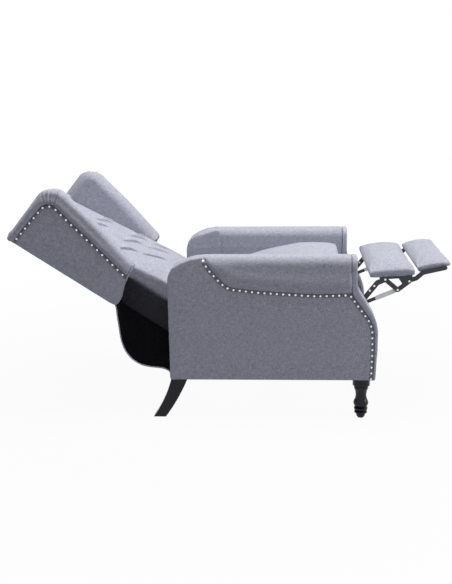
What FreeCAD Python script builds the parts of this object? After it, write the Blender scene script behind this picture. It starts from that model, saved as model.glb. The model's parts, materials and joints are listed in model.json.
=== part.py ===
import FreeCAD, Part
import math
import os
from FreeCAD import Vector

# Push-back wingback recliner, shown reclined with its footrest out.
# Millimetres. X runs forward, Y to the sitter's left, Z up.
# Lengths along X are first counted from the rear edge of the arms; the last step moves
# the origin to the middle of the outline on the floor.

# Overall sizes
OUTER_HALF = 345.0            # half width over the outer side panels
ARM_WIDTH = 83.0              # one arm, over its two side panels
INNER_HALF = OUTER_HALF - ARM_WIDTH
LEG_HEIGHT = 158.0
ARM_HEIGHT = 625.0
ARM_FRONT_TOP = 690.0         # front of the arm at its top
ARM_FRONT_LOW = 768.0         # front of the arm at its widest
FRONT_KNEE_LOW = 383.0        # heights of the two bends in the front of the arm
FRONT_KNEE_HIGH = 512.0
WING_INSET = 15.0             # wing panels lie this far inside the side panels
WING_HALF = OUTER_HALF - WING_INSET

# Board and padding thicknesses
PANEL = 12.0
FACING = 20.0                 # padded strip on the front of each arm, at its top
FACING_LOW = 11.0             # the same strip below its bends
ARM_PADDING = 24.0
BAND_PROUD = 5.0              # arm-top padding stands this far out of the side panel
SLIP = 0.3                    # clearance between neighbouring soft pieces
STEEL = 3.0                   # thickness of the mechanism plates and links
LAYER = STEEL + 0.5           # step from one link layer to the next
PIN = 4.0                     # pivot pin radius
BORE = PIN + 0.05
LINK_WIDTH = 19.0

# Back: its slope, pivot and lengths measured up the back from the pivot
BACK_PIVOT = (10.0, 352.0)
BACK_SLOPE = 33.3             # degrees above level, at full recline
BACK_LOW = -45.0
BACK_TOP = 684.0
WING_LOW = 217.0
BACK_REAR = -43.0             # rear face, measured square to the back
BACK_BOARD = 48.0             # front of the wooden frame
WING_LOW_FRONT = 126.0
WING_TOP_FRONT = 243.0
WING_BORDER_TOP = 28.0        # rolled border between the nail line and the top edge
WING_BORDER_FRONT = 48.0
WING_BORDER_PEAK = (28.0, 78.0)

# Seat: its slope and the rear lower edge of its cushion
SEAT_ORIGIN = (195.0, 345.0)
SEAT_SLOPE = 11.0
SEAT_PIVOT = (230.0, 332.0)
SEAT_SIDE_GAP = 8.0           # between the seat cushion and each arm
SEAT_HALF = INNER_HALF - SEAT_SIDE_GAP
LINK_SPACE = 34.0             # room for the links between each arm and the seat frame
SEAT_RAIL_HALF = INNER_HALF - LINK_SPACE
SEAT_RAIL_DEPTH = 45.0
SEAT_RAIL_WIDTH = 28.0
SEAT_RAIL_FRONT = 365.0
LIFT_FOOT = (465.0, 331.0)
LIFT_HEAD = (530.0, 349.0)
LIFT_WIDTH = 24.0
LIFT_PLAY = 3.6               # play round the pin at the head of the lift link

# Footrest linkage, pivots at full extension
REAR_PIVOT = (600.0, 307.0)
KNEE_PIVOT = (698.0, 417.0)
PAD_PIVOT = (799.0, 521.0)
FRONT_LINK_BEND = (770.0, 509.0)
CONTROL_PIVOT = (540.0, 344.0)
CONTROL_KNEE = (688.0, 416.0)
PAD_CONTROL = (846.0, 481.0)
FLIPPER_PIVOT = (888.0, 514.0)
PAD_SLOPE = 3.7
FLIPPER_SLOPE = 12.0
PAD_SIDE_GAP = 6.0            # between the footrest pad and the line of each arm
PAD_HALF = INNER_HALF - PAD_SIDE_GAP
FLIPPER_STEP = 19.0           # the front pad is narrower by this on each side
FLIPPER_HALF = PAD_HALF - FLIPPER_STEP

# Decorative nails
NAIL_RADIUS = 4.6
NAIL_HEIGHT = 2.3
ARM_NAIL_STEP = 22.4
WING_NAIL_STEP = 26.0
NAIL_INSET = 6.0              # from the edge of the padding to the row of nails
SEAM_INSET = 8.0              # from the front seam of the arm to the row of nails

nodes = {}


def turned(vector, degrees):
    """A plane vector (x, z) turned counter-clockwise, seen from the sitter's right."""
    angle = math.radians(degrees)
    return (vector[0] * math.cos(angle) - vector[1] * math.sin(angle),
            vector[0] * math.sin(angle) + vector[1] * math.cos(angle))


def slope_frame(origin, slope):
    """Function placing (along, out) from an origin on a line that rises forward by slope."""
    def place(along, out):
        step = turned((along, out), slope)
        return Vector(origin[0] + step[0], 0, origin[1] + step[1])
    return place


def upright(x, z):
    return Vector(x, 0, z)


def on_back(along, out):
    """Point up the back by along, and in front of the pivot line by out."""
    angle = math.radians(BACK_SLOPE)
    return Vector(BACK_PIVOT[0] - along * math.cos(angle) + out * math.sin(angle), 0,
                  BACK_PIVOT[1] + along * math.sin(angle) + out * math.cos(angle))


on_seat = slope_frame(SEAT_ORIGIN, SEAT_SLOPE)
on_pad = slope_frame(PAD_PIVOT, PAD_SLOPE)
on_flipper = slope_frame(FLIPPER_PIVOT, FLIPPER_SLOPE)


def rounded_wire(corners, place=upright, closed=True):
    """Wire through corners (p, q, radius), each rounded by its radius if it has one."""
    count = len(corners)
    stops = []
    for i, corner in enumerate(corners):
        here = Vector(corner[0], corner[1], 0)
        end = not closed and i in (0, count - 1)
        if len(corner) < 3 or end:
            stops.append((here,))
            continue
        radius = corner[2]
        before = corners[i - 1]
        after = corners[(i + 1) % count]
        back = (Vector(before[0], before[1], 0) - here).normalize()
        ahead = (Vector(after[0], after[1], 0) - here).normalize()
        half = back.getAngle(ahead) / 2
        reach = radius / math.tan(half)
        middle = (back + ahead).normalize() * (radius / math.sin(half) - radius)
        stops.append((here + back * reach, here + middle, here + ahead * reach))
    edges = []
    for i, stop in enumerate(stops):
        if len(stop) == 3:
            a, b, c = [place(p.x, p.y) for p in stop]
            edges.append(Part.Arc(a, b, c).toShape())
        if i == count - 1 and not closed:
            break
        start = place(stop[-1].x, stop[-1].y)
        finish = stops[(i + 1) % count][0]
        finish = place(finish.x, finish.y)
        if start.distanceToPoint(finish) > 0.001:
            edges.append(Part.makeLine(start, finish))
    return Part.Wire(edges)


def offset_line(corners, distance):
    """Open line of corners moved sideways, to the right of its direction for a positive distance."""
    normals = []
    for first, last in zip(corners, corners[1:]):
        run = math.hypot(last[0] - first[0], last[1] - first[1])
        normals.append(((last[1] - first[1]) / run, (first[0] - last[0]) / run))
    moved = []
    for i, corner in enumerate(corners):
        before = normals[max(i - 1, 0)]
        after = normals[min(i, len(normals) - 1)]
        share = distance / (1 + before[0] * after[0] + before[1] * after[1])
        x = corner[0] + (before[0] + after[0]) * share
        z = corner[1] + (before[1] + after[1]) * share
        moved.append((x, z) + corner[2:])
    return moved


def along_line(first, last, reach):
    """The point beyond last, by reach, on the line from first."""
    run = math.hypot(last[0] - first[0], last[1] - first[1])
    return (last[0] + (last[0] - first[0]) / run * reach, last[1] + (last[1] - first[1]) / run * reach)


def plate(corners, y_from, y_to, place=upright):
    """Solid between two widths with the rounded outline."""
    face = Part.Face(rounded_wire(corners, place))
    face.translate(Vector(0, min(y_from, y_to), 0))
    return face.extrude(Vector(0, abs(y_to - y_from), 0))


def cross_pin(x, z, y_from, y_to, radius=PIN):
    low = min(y_from, y_to)
    return Part.makeCylinder(radius, abs(y_to - y_from), Vector(x, low, z), Vector(0, 1, 0))


def flat_bar(points, y_from, y_to, width=LINK_WIDTH, holes=()):
    """Flat bar with round ends through the points, bored at the holes."""
    half = width / 2
    pieces = [cross_pin(p[0], p[1], y_from, y_to, half) for p in points]
    for first, last in zip(points, points[1:]):
        run = math.hypot(last[0] - first[0], last[1] - first[1])
        side = ((first[1] - last[1]) / run * half, (last[0] - first[0]) / run * half)
        corners = [(first[0] + side[0], first[1] + side[1]), (first[0] - side[0], first[1] - side[1]),
                   (last[0] - side[0], last[1] - side[1]), (last[0] + side[0], last[1] + side[1])]
        pieces.append(plate(corners, y_from, y_to))
    bar = pieces[0].multiFuse(pieces[1:]).removeSplitter()
    return bored(bar, holes, y_from, y_to)


def bored(solid, holes, y_from, y_to, radius=BORE):
    for x, z in holes:
        solid = solid.cut(cross_pin(x, z, y_from - 1, y_to + 1, radius))
    return solid


def mirrored(shape):
    return shape.mirror(Vector(0, 0, 0), Vector(0, 1, 0))


def add_pair(name, left_shape):
    nodes[name + "_left"] = left_shape
    nodes[name + "_right"] = mirrored(left_shape)


def both_sides(left_shapes):
    """One group holding the left shapes and their mirror images."""
    return Part.Compound(list(left_shapes) + [mirrored(shape) for shape in left_shapes])


def crowned_pad(stations, place, bulge=2.0):
    """Cushion lofted through sections (along, half width, bottom, edge height, crown height)."""
    wires = []
    for along, half, bottom, edge, crown in stations:
        def at(y, out):
            return place(along, out) + Vector(0, y, 0)
        middle = (bottom + edge) / 2
        wires.append(Part.Wire([
            Part.makeLine(at(-half, bottom), at(half, bottom)),
            Part.Arc(at(half, bottom), at(half + bulge, middle), at(half, edge)).toShape(),
            Part.Arc(at(half, edge), at(0, crown), at(-half, edge)).toShape(),
            Part.Arc(at(-half, edge), at(-half - bulge, middle), at(-half, bottom)).toShape()]))
    return Part.makeLoft(wires, True, True)


def xy(point):
    """The (x, z) pair of a placed point."""
    return (point.x, point.z)


# Arms. The side outline is shared by panels, padding and facing.
ARM_REAR = [(0, LEG_HEIGHT), (0, ARM_HEIGHT - 8, 106), (150, ARM_HEIGHT, 300)]



# Front S-curve of the arm and the seam behind its padded strip, both bottom to top.
ARM_FRONT = [(ARM_FRONT_LOW - 6, LEG_HEIGHT), (ARM_FRONT_LOW, LEG_HEIGHT + 120, 300),
             (ARM_FRONT_LOW, FRONT_KNEE_LOW, 170), (ARM_FRONT_TOP, FRONT_KNEE_HIGH, 90),
             (ARM_FRONT_TOP, ARM_HEIGHT)]
SEAM_LOW = ARM_FRONT_LOW - FACING_LOW
SEAM_TOP = ARM_FRONT_TOP - FACING
SEAM_FRONT = [(SEAM_LOW - 3, LEG_HEIGHT), (SEAM_LOW, LEG_HEIGHT + 120, 300),
              (SEAM_LOW - 3, FRONT_KNEE_LOW - 10, 100), (SEAM_TOP, FRONT_KNEE_HIGH - 22, 60),
              (SEAM_TOP, ARM_HEIGHT)]
side_outline = ARM_REAR + SEAM_FRONT[::-1]

# The nails drop in a curve behind the arm top, run level to the front seam and follow it
# down. The padding over the arm ends just above the level row.
seam_nails = offset_line(SEAM_FRONT[3::-1], SEAM_INSET)
NAIL_LEVEL = ARM_HEIGHT - 141
nail_line = [(98, ARM_HEIGHT + 55), (150, ARM_HEIGHT - 46, 120), (196, ARM_HEIGHT - 98, 120),
             (226, ARM_HEIGHT - 120, 50), (330, ARM_HEIGHT - 132, 500), (540, ARM_HEIGHT - 146, 700),
             (seam_nails[0][0], NAIL_LEVEL)]
PAD_LINE = offset_line(nail_line[:-1] + [(ARM_FRONT_TOP + 40, NAIL_LEVEL + 2)], -NAIL_INSET)
PAD_LINE.append((ARM_FRONT_TOP + 40, ARM_HEIGHT + 60))
band_space = plate(PAD_LINE, OUTER_HALF - 50, OUTER_HALF + 50)
outer_panel = plate(side_outline, OUTER_HALF - PANEL, OUTER_HALF).cut(band_space)
add_pair("outer_side_panel", outer_panel)

INNER_PANEL_TOP = ARM_HEIGHT - 75
above = Part.makeBox(2000, 100, 500, Vector(-500, INNER_HALF - 50, INNER_PANEL_TOP))
inner_panel = plate(side_outline, INNER_HALF, INNER_HALF + PANEL).cut(above)
add_pair("inner_side_panel", inner_panel)

# Padding: a rounded cap over the arm, the rear edge and the band above the nails.
PAD_OUT = OUTER_HALF + BAND_PROUD
PAD_IN = INNER_HALF - 2
block = plate(side_outline, PAD_IN, PAD_OUT)
CAP_TOP = ARM_HEIGHT + 2
cap_section = [(PAD_IN, LEG_HEIGHT), (PAD_OUT, LEG_HEIGHT), (PAD_OUT, CAP_TOP, 36), (PAD_IN, CAP_TOP, 36)]
cap_wire = rounded_wire(cap_section, lambda y, z: Vector(-5, y, z))
cap = Part.Face(cap_wire).extrude(Vector(ARM_FRONT_LOW + 20, 0, 0))
HOLLOW_TOP = ARM_HEIGHT - ARM_PADDING
HOLLOW_FRONT = ARM_FRONT_LOW + 32
hollow = plate([(ARM_PADDING / 2, LEG_HEIGHT - 1), (ARM_PADDING / 2, ARM_HEIGHT - 65, 60),
                (120, HOLLOW_TOP, 150), (HOLLOW_FRONT, HOLLOW_TOP), (HOLLOW_FRONT, LEG_HEIGHT - 1)],
               INNER_HALF + PANEL, OUTER_HALF - PANEL)
arm_pad = block.common(cap).cut(hollow)
arm_pad = arm_pad.cut(plate(side_outline, OUTER_HALF - PANEL, PAD_OUT + 1).cut(band_space))
arm_pad = arm_pad.cut(plate(side_outline, PAD_IN - 1, INNER_HALF + PANEL).cut(above))
add_pair("arm_pad", arm_pad)

facing_outline = ARM_FRONT + SEAM_FRONT[::-1]
facing = plate(facing_outline, PAD_IN, PAD_OUT)
facing = facing.common(cap)
add_pair("arm_front_panel", facing)

# Timber inside each arm: two posts, a top rail and a bottom rail.
FRAME_IN = INNER_HALF + PANEL
FRAME_OUT = OUTER_HALF - PANEL
FRAME_TOP = ARM_HEIGHT - ARM_PADDING
POST = 45.0
POST_FRONT = ARM_FRONT_TOP - 90
REAR_POST_TOP = ARM_HEIGHT - 129
RAIL_END = ARM_FRONT_LOW - 30
RAIL_HEIGHT = 60.0
TOP_RAIL = 40.0
TOP_RAIL_REAR = 150.0


def arm_timber(x_from, x_to, z_from, z_to):
    corner = Vector(x_from, FRAME_IN, z_from)
    return Part.makeBox(x_to - x_from, FRAME_OUT - FRAME_IN, z_to - z_from, corner)


POST_REAR_END = ARM_PADDING / 2 + POST
arm_frame = [arm_timber(ARM_PADDING / 2, POST_REAR_END, LEG_HEIGHT, REAR_POST_TOP),
             arm_timber(POST_FRONT, POST_FRONT + POST, LEG_HEIGHT + RAIL_HEIGHT, FRAME_TOP - TOP_RAIL),
             arm_timber(TOP_RAIL_REAR, POST_FRONT + POST, FRAME_TOP - TOP_RAIL, FRAME_TOP),
             arm_timber(POST_REAR_END, RAIL_END, LEG_HEIGHT, LEG_HEIGHT + RAIL_HEIGHT)]
nodes["arm_frames"] = both_sides(arm_frame)

# Legs: a turned pair in front and a splayed pair behind, on nylon glides.
GLIDE = 3.0
FRONT_LEG_INSET = 41.0        # centre of the front leg from the side panel
FRONT_LEG = (ARM_FRONT_LOW - 54, OUTER_HALF - FRONT_LEG_INSET)
REAR_LEG_INSET = 21.0
REAR_LEG_WIDTH = 40.0
REAR_LEG_Y = (OUTER_HALF - REAR_LEG_INSET - REAR_LEG_WIDTH, OUTER_HALF - REAR_LEG_INSET)
REAR_LEG_TOP = (2.0, 64.0)
REAR_LEG_MIDDLE = (-24.0, 28.0)
REAR_LEG_FOOT = (-70.0, -24.0)
leg_half_profile = [(0, GLIDE), (14, GLIDE), (16, 6), (17.5, 16), (24, 19), (24, 24), (19, 28), (25.5, 33),
                    (25.5, 39), (20, 43), (26.5, 50), (28.5, 58), (26.5, 66), (22, 76), (20, 88), (22, 104),
                    (27, 118), (25, 124), (32.5, 129), (32.5, 150), (30, LEG_HEIGHT), (0, LEG_HEIGHT)]
leg_points = [Vector(r, 0, z) for r, z in leg_half_profile]
leg_face = Part.Face(Part.makePolygon(leg_points + leg_points[:1]))
front_leg = leg_face.revolve(Vector(0, 0, 0), Vector(0, 0, 1), 360)
front_leg.translate(Vector(FRONT_LEG[0], FRONT_LEG[1], 0))
add_pair("front_leg", front_leg)


def leg_edge(top, middle, foot):
    points = [Vector(top, 0, LEG_HEIGHT), Vector(middle, 0, LEG_HEIGHT * 0.53), Vector(foot, 0, GLIDE)]
    return Part.Arc(*points).toShape()


leg_rear = leg_edge(REAR_LEG_TOP[0], REAR_LEG_MIDDLE[0], REAR_LEG_FOOT[0])
leg_ahead = leg_edge(REAR_LEG_TOP[1], REAR_LEG_MIDDLE[1], REAR_LEG_FOOT[1])
leg_top = Part.makeLine(Vector(REAR_LEG_TOP[0], 0, LEG_HEIGHT), Vector(REAR_LEG_TOP[1], 0, LEG_HEIGHT))
leg_foot = Part.makeLine(Vector(REAR_LEG_FOOT[0], 0, GLIDE), Vector(REAR_LEG_FOOT[1], 0, GLIDE))
rear_leg = Part.Face(Part.Wire(Part.__sortEdges__([leg_rear, leg_ahead, leg_top, leg_foot])))
rear_leg.translate(Vector(0, REAR_LEG_Y[0], 0))
rear_leg = rear_leg.extrude(Vector(0, REAR_LEG_Y[1] - REAR_LEG_Y[0], 0))
add_pair("rear_leg", rear_leg)

rear_foot_x = sum(REAR_LEG_FOOT) / 2
rear_foot_y = sum(REAR_LEG_Y) / 2
nodes["foot_glides"] = both_sides([Part.makeCylinder(12, GLIDE, Vector(FRONT_LEG[0], FRONT_LEG[1], 0)),
                                   Part.makeCylinder(12, GLIDE, Vector(rear_foot_x, rear_foot_y, 0))])

# Rails that join the two sides, and the steel plate on the inner face of each arm.
REAR_RAIL = 25.0
nodes["rear_rail"] = Part.makeBox(REAR_RAIL, 2 * INNER_HALF, 70, Vector(0, -INNER_HALF, LEG_HEIGHT))
FRONT_RAIL = 30.0
FRONT_RAIL_REAR = 430.0
FRONT_RAIL_HEIGHT = 64.0
nodes["front_rail"] = Part.makeBox(FRONT_RAIL, 2 * INNER_HALF, FRONT_RAIL_HEIGHT,
                                   Vector(FRONT_RAIL_REAR, -INNER_HALF, LEG_HEIGHT))

PLATE_IN = INNER_HALF - STEEL
PLATE_REAR = BACK_PIVOT[0] - 22
PLATE_HUMP = BACK_PIVOT[1] + 22
PLATE_TOP = CONTROL_PIVOT[1] + 14
PLATE_FRONT = REAR_PIVOT[0] + 22
PLATE_NOSE = REAR_PIVOT[1] - 21
PLATE_LOW = SEAT_PIVOT[1] - 30
base_plate = plate([(PLATE_REAR, BACK_PIVOT[1] - 26, 10), (PLATE_REAR, PLATE_HUMP, 18),
                    (BACK_PIVOT[0] + 24, PLATE_HUMP, 14), (BACK_PIVOT[0] + 54, PLATE_TOP, 14),
                    (CONTROL_PIVOT[0] + 20, PLATE_TOP, 14), (PLATE_FRONT, REAR_PIVOT[1] + 23, 12),
                    (PLATE_FRONT, PLATE_NOSE, 12), (REAR_PIVOT[0] - 20, PLATE_NOSE, 20),
                    (LIFT_FOOT[0] + 15, PLATE_LOW, 60), (BACK_PIVOT[0] + 50, PLATE_LOW, 30)],
                   PLATE_IN, INNER_HALF)
plate_holes = [BACK_PIVOT, SEAT_PIVOT, LIFT_FOOT, CONTROL_PIVOT, REAR_PIVOT]
base_plate = bored(base_plate, plate_holes, PLATE_IN, INNER_HALF)
nodes["mechanism_plates"] = both_sides([base_plate])


def layer(number):
    """Inner and outer width of a link layer, counted inward from the plate on the arm."""
    outer = PLATE_IN + STEEL - number * LAYER
    return (outer - STEEL, outer)


BACK_BRACKET = (INNER_HALF - 7, INNER_HALF - 4)
LIFT_LAYER = (SEAT_RAIL_HALF + LAYER, SEAT_RAIL_HALF + LAYER + STEEL)
nodes["base_pivot_pins"] = both_sides([
    cross_pin(*BACK_PIVOT, BACK_BRACKET[0], INNER_HALF),
    cross_pin(*SEAT_PIVOT, SEAT_RAIL_HALF, INNER_HALF),
    cross_pin(*LIFT_FOOT, LIFT_LAYER[0], INNER_HALF),
    cross_pin(*CONTROL_PIVOT, layer(5)[0], INNER_HALF),
    cross_pin(*REAR_PIVOT, layer(1)[0], INNER_HALF)])

# Skirt: cloth from the foot of the outside back down to the rear rail.
SKIRT = 3.0
SKIRT_HALF = WING_HALF - 12
skirt_line = [(-195.3, 434.2), (-174, 214, 75), (-30, 194.5, 30), (-0.5, 178)]
skirt_inner = [(-193, 437.7), (-170.8, 216.7, 72), (-29, 197.6, 33), (-0.5, 181.4)]
nodes["rear_skirt"] = plate(skirt_line + skirt_inner[::-1], -SKIRT_HALF, SKIRT_HALF)


def nails(corners, place, step, y):
    """Domed nail heads along an open line, on the face at width y of the left side."""
    line = rounded_wire(corners, place, False)
    count = int(round(line.Length / step))
    ball = (NAIL_RADIUS ** 2 + NAIL_HEIGHT ** 2) / (2 * NAIL_HEIGHT)
    sunk = ball - NAIL_HEIGHT
    base_angle = math.degrees(math.asin(sunk / ball))
    heads = []
    for point in line.discretize(count + 1):
        centre = Vector(point.x, y - sunk, point.z)
        heads.append(Part.makeSphere(ball, centre, Vector(0, 1, 0), base_angle, 90, 360))
    return heads


first_nail = (133, ARM_HEIGHT - 15)
arm_nail_path = [first_nail] + nail_line[1:-1] + [nail_line[-1] + (6,)] + seam_nails[1:]
arm_nail_path[-1] = along_line(arm_nail_path[-2], arm_nail_path[-1], -6)
nodes["arm_nailheads"] = both_sides(nails(arm_nail_path, upright, ARM_NAIL_STEP, OUTER_HALF))

# Back frame: posts, cross rails and webbing.
BACK_POST = 27.0
POST_OUT = INNER_HALF - 10
POST_IN = POST_OUT - BACK_POST
POST_TOP = BACK_TOP - 44
POST_REAR = BACK_REAR + 16
post = plate([(BACK_LOW, POST_REAR), (POST_TOP, POST_REAR), (POST_TOP, BACK_BOARD), (BACK_LOW, BACK_BOARD)],
             POST_IN, POST_OUT, on_back)
add_pair("back_post", post)


def back_box(a_from, a_to, b_from, b_to, half):
    return plate([(a_from, b_from), (a_to, b_from), (a_to, b_to), (a_from, b_to)], -half, half, on_back)


nodes["back_cross_rails"] = Part.Compound([
    back_box(start, start + 40, POST_REAR, 20, POST_IN) for start in (BACK_LOW, 225, POST_TOP - 40)])
WEB = 4.0
WEB_FRONT = BACK_BOARD - 12
nodes["back_webbing"] = Part.Compound([
    back_box(start, start + 50, WEB_FRONT - WEB, WEB_FRONT, POST_IN) for start in (20, 110, 300, 390, 480)])

nodes["outside_back_panel"] = back_box(WING_LOW, BACK_TOP - 4, BACK_REAR, POST_REAR, WING_HALF - 4)
COVER_TOP = WING_LOW - 8
COVER_SIDE_TOP = WING_LOW + 19      # the sides run up behind the wings
cover_outline = [(BACK_LOW, BACK_REAR), (COVER_TOP, BACK_REAR), (COVER_TOP, POST_REAR + 1),
                 (COVER_SIDE_TOP, POST_REAR + 1), (COVER_SIDE_TOP, BACK_BOARD), (BACK_LOW, BACK_BOARD)]
cover_side = plate(cover_outline, POST_OUT, POST_OUT + STEEL, on_back)
cover_rear = back_box(BACK_LOW, COVER_TOP, BACK_REAR, BACK_REAR + 2, POST_OUT)
nodes["lower_back_covers"] = Part.Compound([cover_side, mirrored(cover_side), cover_rear])

bracket_outline = [(-24, -24, 20), (170, -24, 12), (170, 26, 12), (-24, 26, 20)]
bracket = plate(bracket_outline, *BACK_BRACKET, on_back)
nodes["back_brackets"] = both_sides([bored(bracket, [BACK_PIVOT], *BACK_BRACKET)])

# Wings: a padded board each side with a rolled border, and a flat panel inside the nails.
WING_IN = INNER_HALF
WING_REAR = POST_REAR
WING_FOOT = WING_LOW + 21
WING_PEAK = BACK_TOP - 29
wing_outline = [(WING_LOW + 5, WING_REAR), (WING_FOOT, WING_LOW_FRONT, 12), (WING_PEAK, WING_TOP_FRONT, 72),
                (BACK_TOP, WING_REAR, 10)]
wing_block = plate(wing_outline, WING_IN, WING_HALF + BAND_PROUD, on_back)


def is_front_edge(edge):
    """The long outer and inner edges round the front and the top of a wing."""
    start = edge.Vertexes[0].Point
    end = edge.Vertexes[-1].Point
    flat = abs(start.y - end.y) < 0.01
    return flat and min(start.distanceToPoint(on_back(WING_LOW + 5, WING_REAR) + Vector(0, start.y, 0)),
                        end.distanceToPoint(on_back(WING_LOW + 5, WING_REAR) + Vector(0, end.y, 0))) > 1


round_edges = [edge for edge in wing_block.Edges if is_front_edge(edge)]
wing_block = wing_block.makeFillet(20, round_edges)
panel_inset = [(WING_LOW + 5, WING_REAR), (WING_FOOT, WING_LOW_FRONT - WING_BORDER_FRONT),
               (WING_PEAK - WING_BORDER_PEAK[0], WING_TOP_FRONT - WING_BORDER_PEAK[1], 37),
               (BACK_TOP - WING_BORDER_TOP, WING_REAR)]
wing_recess = [along_line(panel_inset[1], panel_inset[0], 40),
               along_line(panel_inset[2], panel_inset[1], 40),
               panel_inset[2],
               along_line(panel_inset[2], panel_inset[3], 40)]
WING_SKIN = 5.0
wing = wing_block.cut(plate(wing_recess, WING_HALF - WING_SKIN, WING_HALF + BAND_PROUD + 1, on_back))
add_pair("wing", wing)
add_pair("wing_outer_panel", plate(panel_inset, WING_HALF - WING_SKIN, WING_HALF, on_back))
wing_nail_path = offset_line([panel_inset[3], panel_inset[2], panel_inset[1]], -NAIL_INSET)
wing_nail_path[0] = along_line(wing_nail_path[1], wing_nail_path[0], -6)
wing_nail_path[-1] = along_line(wing_nail_path[-2], wing_nail_path[-1], -18)
nodes["wing_nailheads"] = both_sides(nails(wing_nail_path, on_back, WING_NAIL_STEP, WING_HALF))

# Inside back: one crowned cushion with sewn tufts, and a roll that closes its top.
CUSHION_TOP = BACK_TOP - 46
CUSHION_WIDE = INNER_HALF - 3.5
CUSHION_SLIM = INNER_HALF - 12
back_cushion = crowned_pad([(BACK_LOW + 5, CUSHION_SLIM - 6, BACK_BOARD, 96, 122),
                            (20, CUSHION_SLIM, BACK_BOARD, 118, 148),
                            (120, CUSHION_SLIM - 2, BACK_BOARD, 118, 150),
                            (222, CUSHION_SLIM, BACK_BOARD, 106, 141),
                            (234, CUSHION_WIDE, BACK_BOARD, 104, 140),
                            (360, CUSHION_WIDE - 2, BACK_BOARD, 90, 126),
                            (500, CUSHION_WIDE - 2, BACK_BOARD, 75, 110),
                            (CUSHION_TOP, CUSHION_WIDE, BACK_BOARD, 62, 90)], on_back, 0.5)
TUFT_STEP = 105.0             # between neighbouring tufts of a row
TUFT_ROWS = ((490, (-1.5, -0.5, 0.5, 1.5)), (345, (-1.5, -0.5, 0.5, 1.5)), (246, (-1, 0, 1)))
TUFT_REACH = 34.0
TUFT_DEPTH = 26.0
square_out = on_back(0, 1) - on_back(0, 0)
for along, columns in TUFT_ROWS:
    top = 140 - (along - 228) * 0.115
    for column in columns:
        y = column * TUFT_STEP
        crown = top - 34 * (y / CUSHION_WIDE) ** 2
        base = on_back(along, crown - TUFT_DEPTH) + Vector(0, y, 0)
        dimple = Part.makeCone(2, TUFT_REACH, TUFT_DEPTH + 14, base, square_out)
        back_cushion = back_cushion.cut(dimple)
nodes["inside_back_cushion"] = back_cushion

ROLL_FRONT = BACK_BOARD + 44
head_roll = plate([(CUSHION_TOP + SLIP, WING_REAR), (BACK_TOP - 4, WING_REAR, 8),
                   (BACK_TOP - 8, ROLL_FRONT, 20), (CUSHION_TOP + SLIP, ROLL_FRONT, 12)],
                  -INNER_HALF + SLIP, INNER_HALF - SLIP, on_back)
post_space = back_box(CUSHION_TOP - 10, POST_TOP + SLIP, WING_REAR - 1, BACK_BOARD + SLIP, POST_OUT + SLIP)
nodes["head_roll"] = head_roll.cut(post_space)

# Seat: timber frame, zigzag springs and a deep crowned cushion.
RAIL_BACK = 10.0


def seat_box(s_from, s_to, y_from, y_to):
    corners = [(s_from, -SEAT_RAIL_DEPTH), (s_to, -SEAT_RAIL_DEPTH), (s_to, 0), (s_from, 0)]
    return plate(corners, y_from, y_to, on_seat)


RAIL_IN = SEAT_RAIL_HALF - SEAT_RAIL_WIDTH
add_pair("seat_rail", seat_box(RAIL_BACK, SEAT_RAIL_FRONT, RAIL_IN, SEAT_RAIL_HALF))
nodes["seat_front_rail"] = seat_box(SEAT_RAIL_FRONT - 25, SEAT_RAIL_FRONT, -RAIL_IN, RAIL_IN)
nodes["seat_rear_rail"] = seat_box(RAIL_BACK, RAIL_BACK + 25, -RAIL_IN, RAIL_IN)

SPRING_WIRE = 2.0
SPRING_LEVEL = -SPRING_WIRE - 1
SPRING_ARM = 14.0
SPRING_TURNS = 14
SPRING_STEP = 70.0


def least_gap(path, radius):
    """Least free space between two runs of a round wire that are over a bend apart."""
    points = path.discretize(400)
    apart = 15
    nearest = min(points[i].distanceToPoint(points[j])
                  for i in range(len(points)) for j in range(i + apart, len(points)))
    return nearest - 2 * radius


def zigzag_spring(y_centre):
    """One flat zigzag wire spring from the rear rail to the front rail, and its gap to itself."""
    start = RAIL_BACK + 25.2
    end = SEAT_RAIL_FRONT - 25.2
    pitch = (end - start) / (SPRING_TURNS + 1)
    side = 1
    corners = [(start, 0), (start + pitch / 2, 0, pitch / 4)]
    for i in range(SPRING_TURNS):
        along = start + pitch * (i + 0.5)
        corners.append((along, side * SPRING_ARM, pitch * 0.45))
        corners.append((along + pitch, side * SPRING_ARM, pitch * 0.45))
        side = -side
    corners.append((end - pitch / 2, 0, pitch / 4))
    corners.append((end, 0))

    def lay(along, across):
        return on_seat(along, SPRING_LEVEL) + Vector(0, y_centre + across, 0)
    path = rounded_wire(corners, lay, False)
    ring = Part.Wire(Part.makeCircle(SPRING_WIRE, lay(start, 0), lay(start + 1, 0) - lay(start, 0)))
    return path.makePipeShell([ring], True, False), least_gap(path, SPRING_WIRE)


springs = [zigzag_spring(column * SPRING_STEP) for column in (-2, -1, 0, 1, 2)]
nodes["seat_springs"] = Part.Compound([wire for wire, gap in springs])
print("least gap of a spring to itself", round(min(gap for wire, gap in springs), 2))

HANGER = (SEAT_RAIL_HALF, SEAT_RAIL_HALF + STEEL)
hanger = plate([(6, -42, 8), (80, -42, 8), (80, -4, 8), (6, -4, 8)], HANGER[0], HANGER[1], on_seat)
drop = plate([(300, -4, 6), (300, -30, 20), (308, -76, 14), (352, -76, 14), (360, -30, 20), (360, -4, 6)],
             HANGER[0], HANGER[1], on_seat)
nodes["seat_hangers"] = both_sides([bored(hanger, [SEAT_PIVOT], *HANGER),
                                    bored(drop, [LIFT_HEAD], *HANGER)])
nodes["seat_lift_pins"] = both_sides([cross_pin(*LIFT_HEAD, HANGER[0], LIFT_LAYER[1])])
lift_link = flat_bar([LIFT_FOOT, LIFT_HEAD], *LIFT_LAYER, width=LIFT_WIDTH, holes=[LIFT_FOOT])
nodes["seat_lift_links"] = both_sides([bored(lift_link, [LIFT_HEAD], *LIFT_LAYER, radius=PIN + LIFT_PLAY)])

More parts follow.
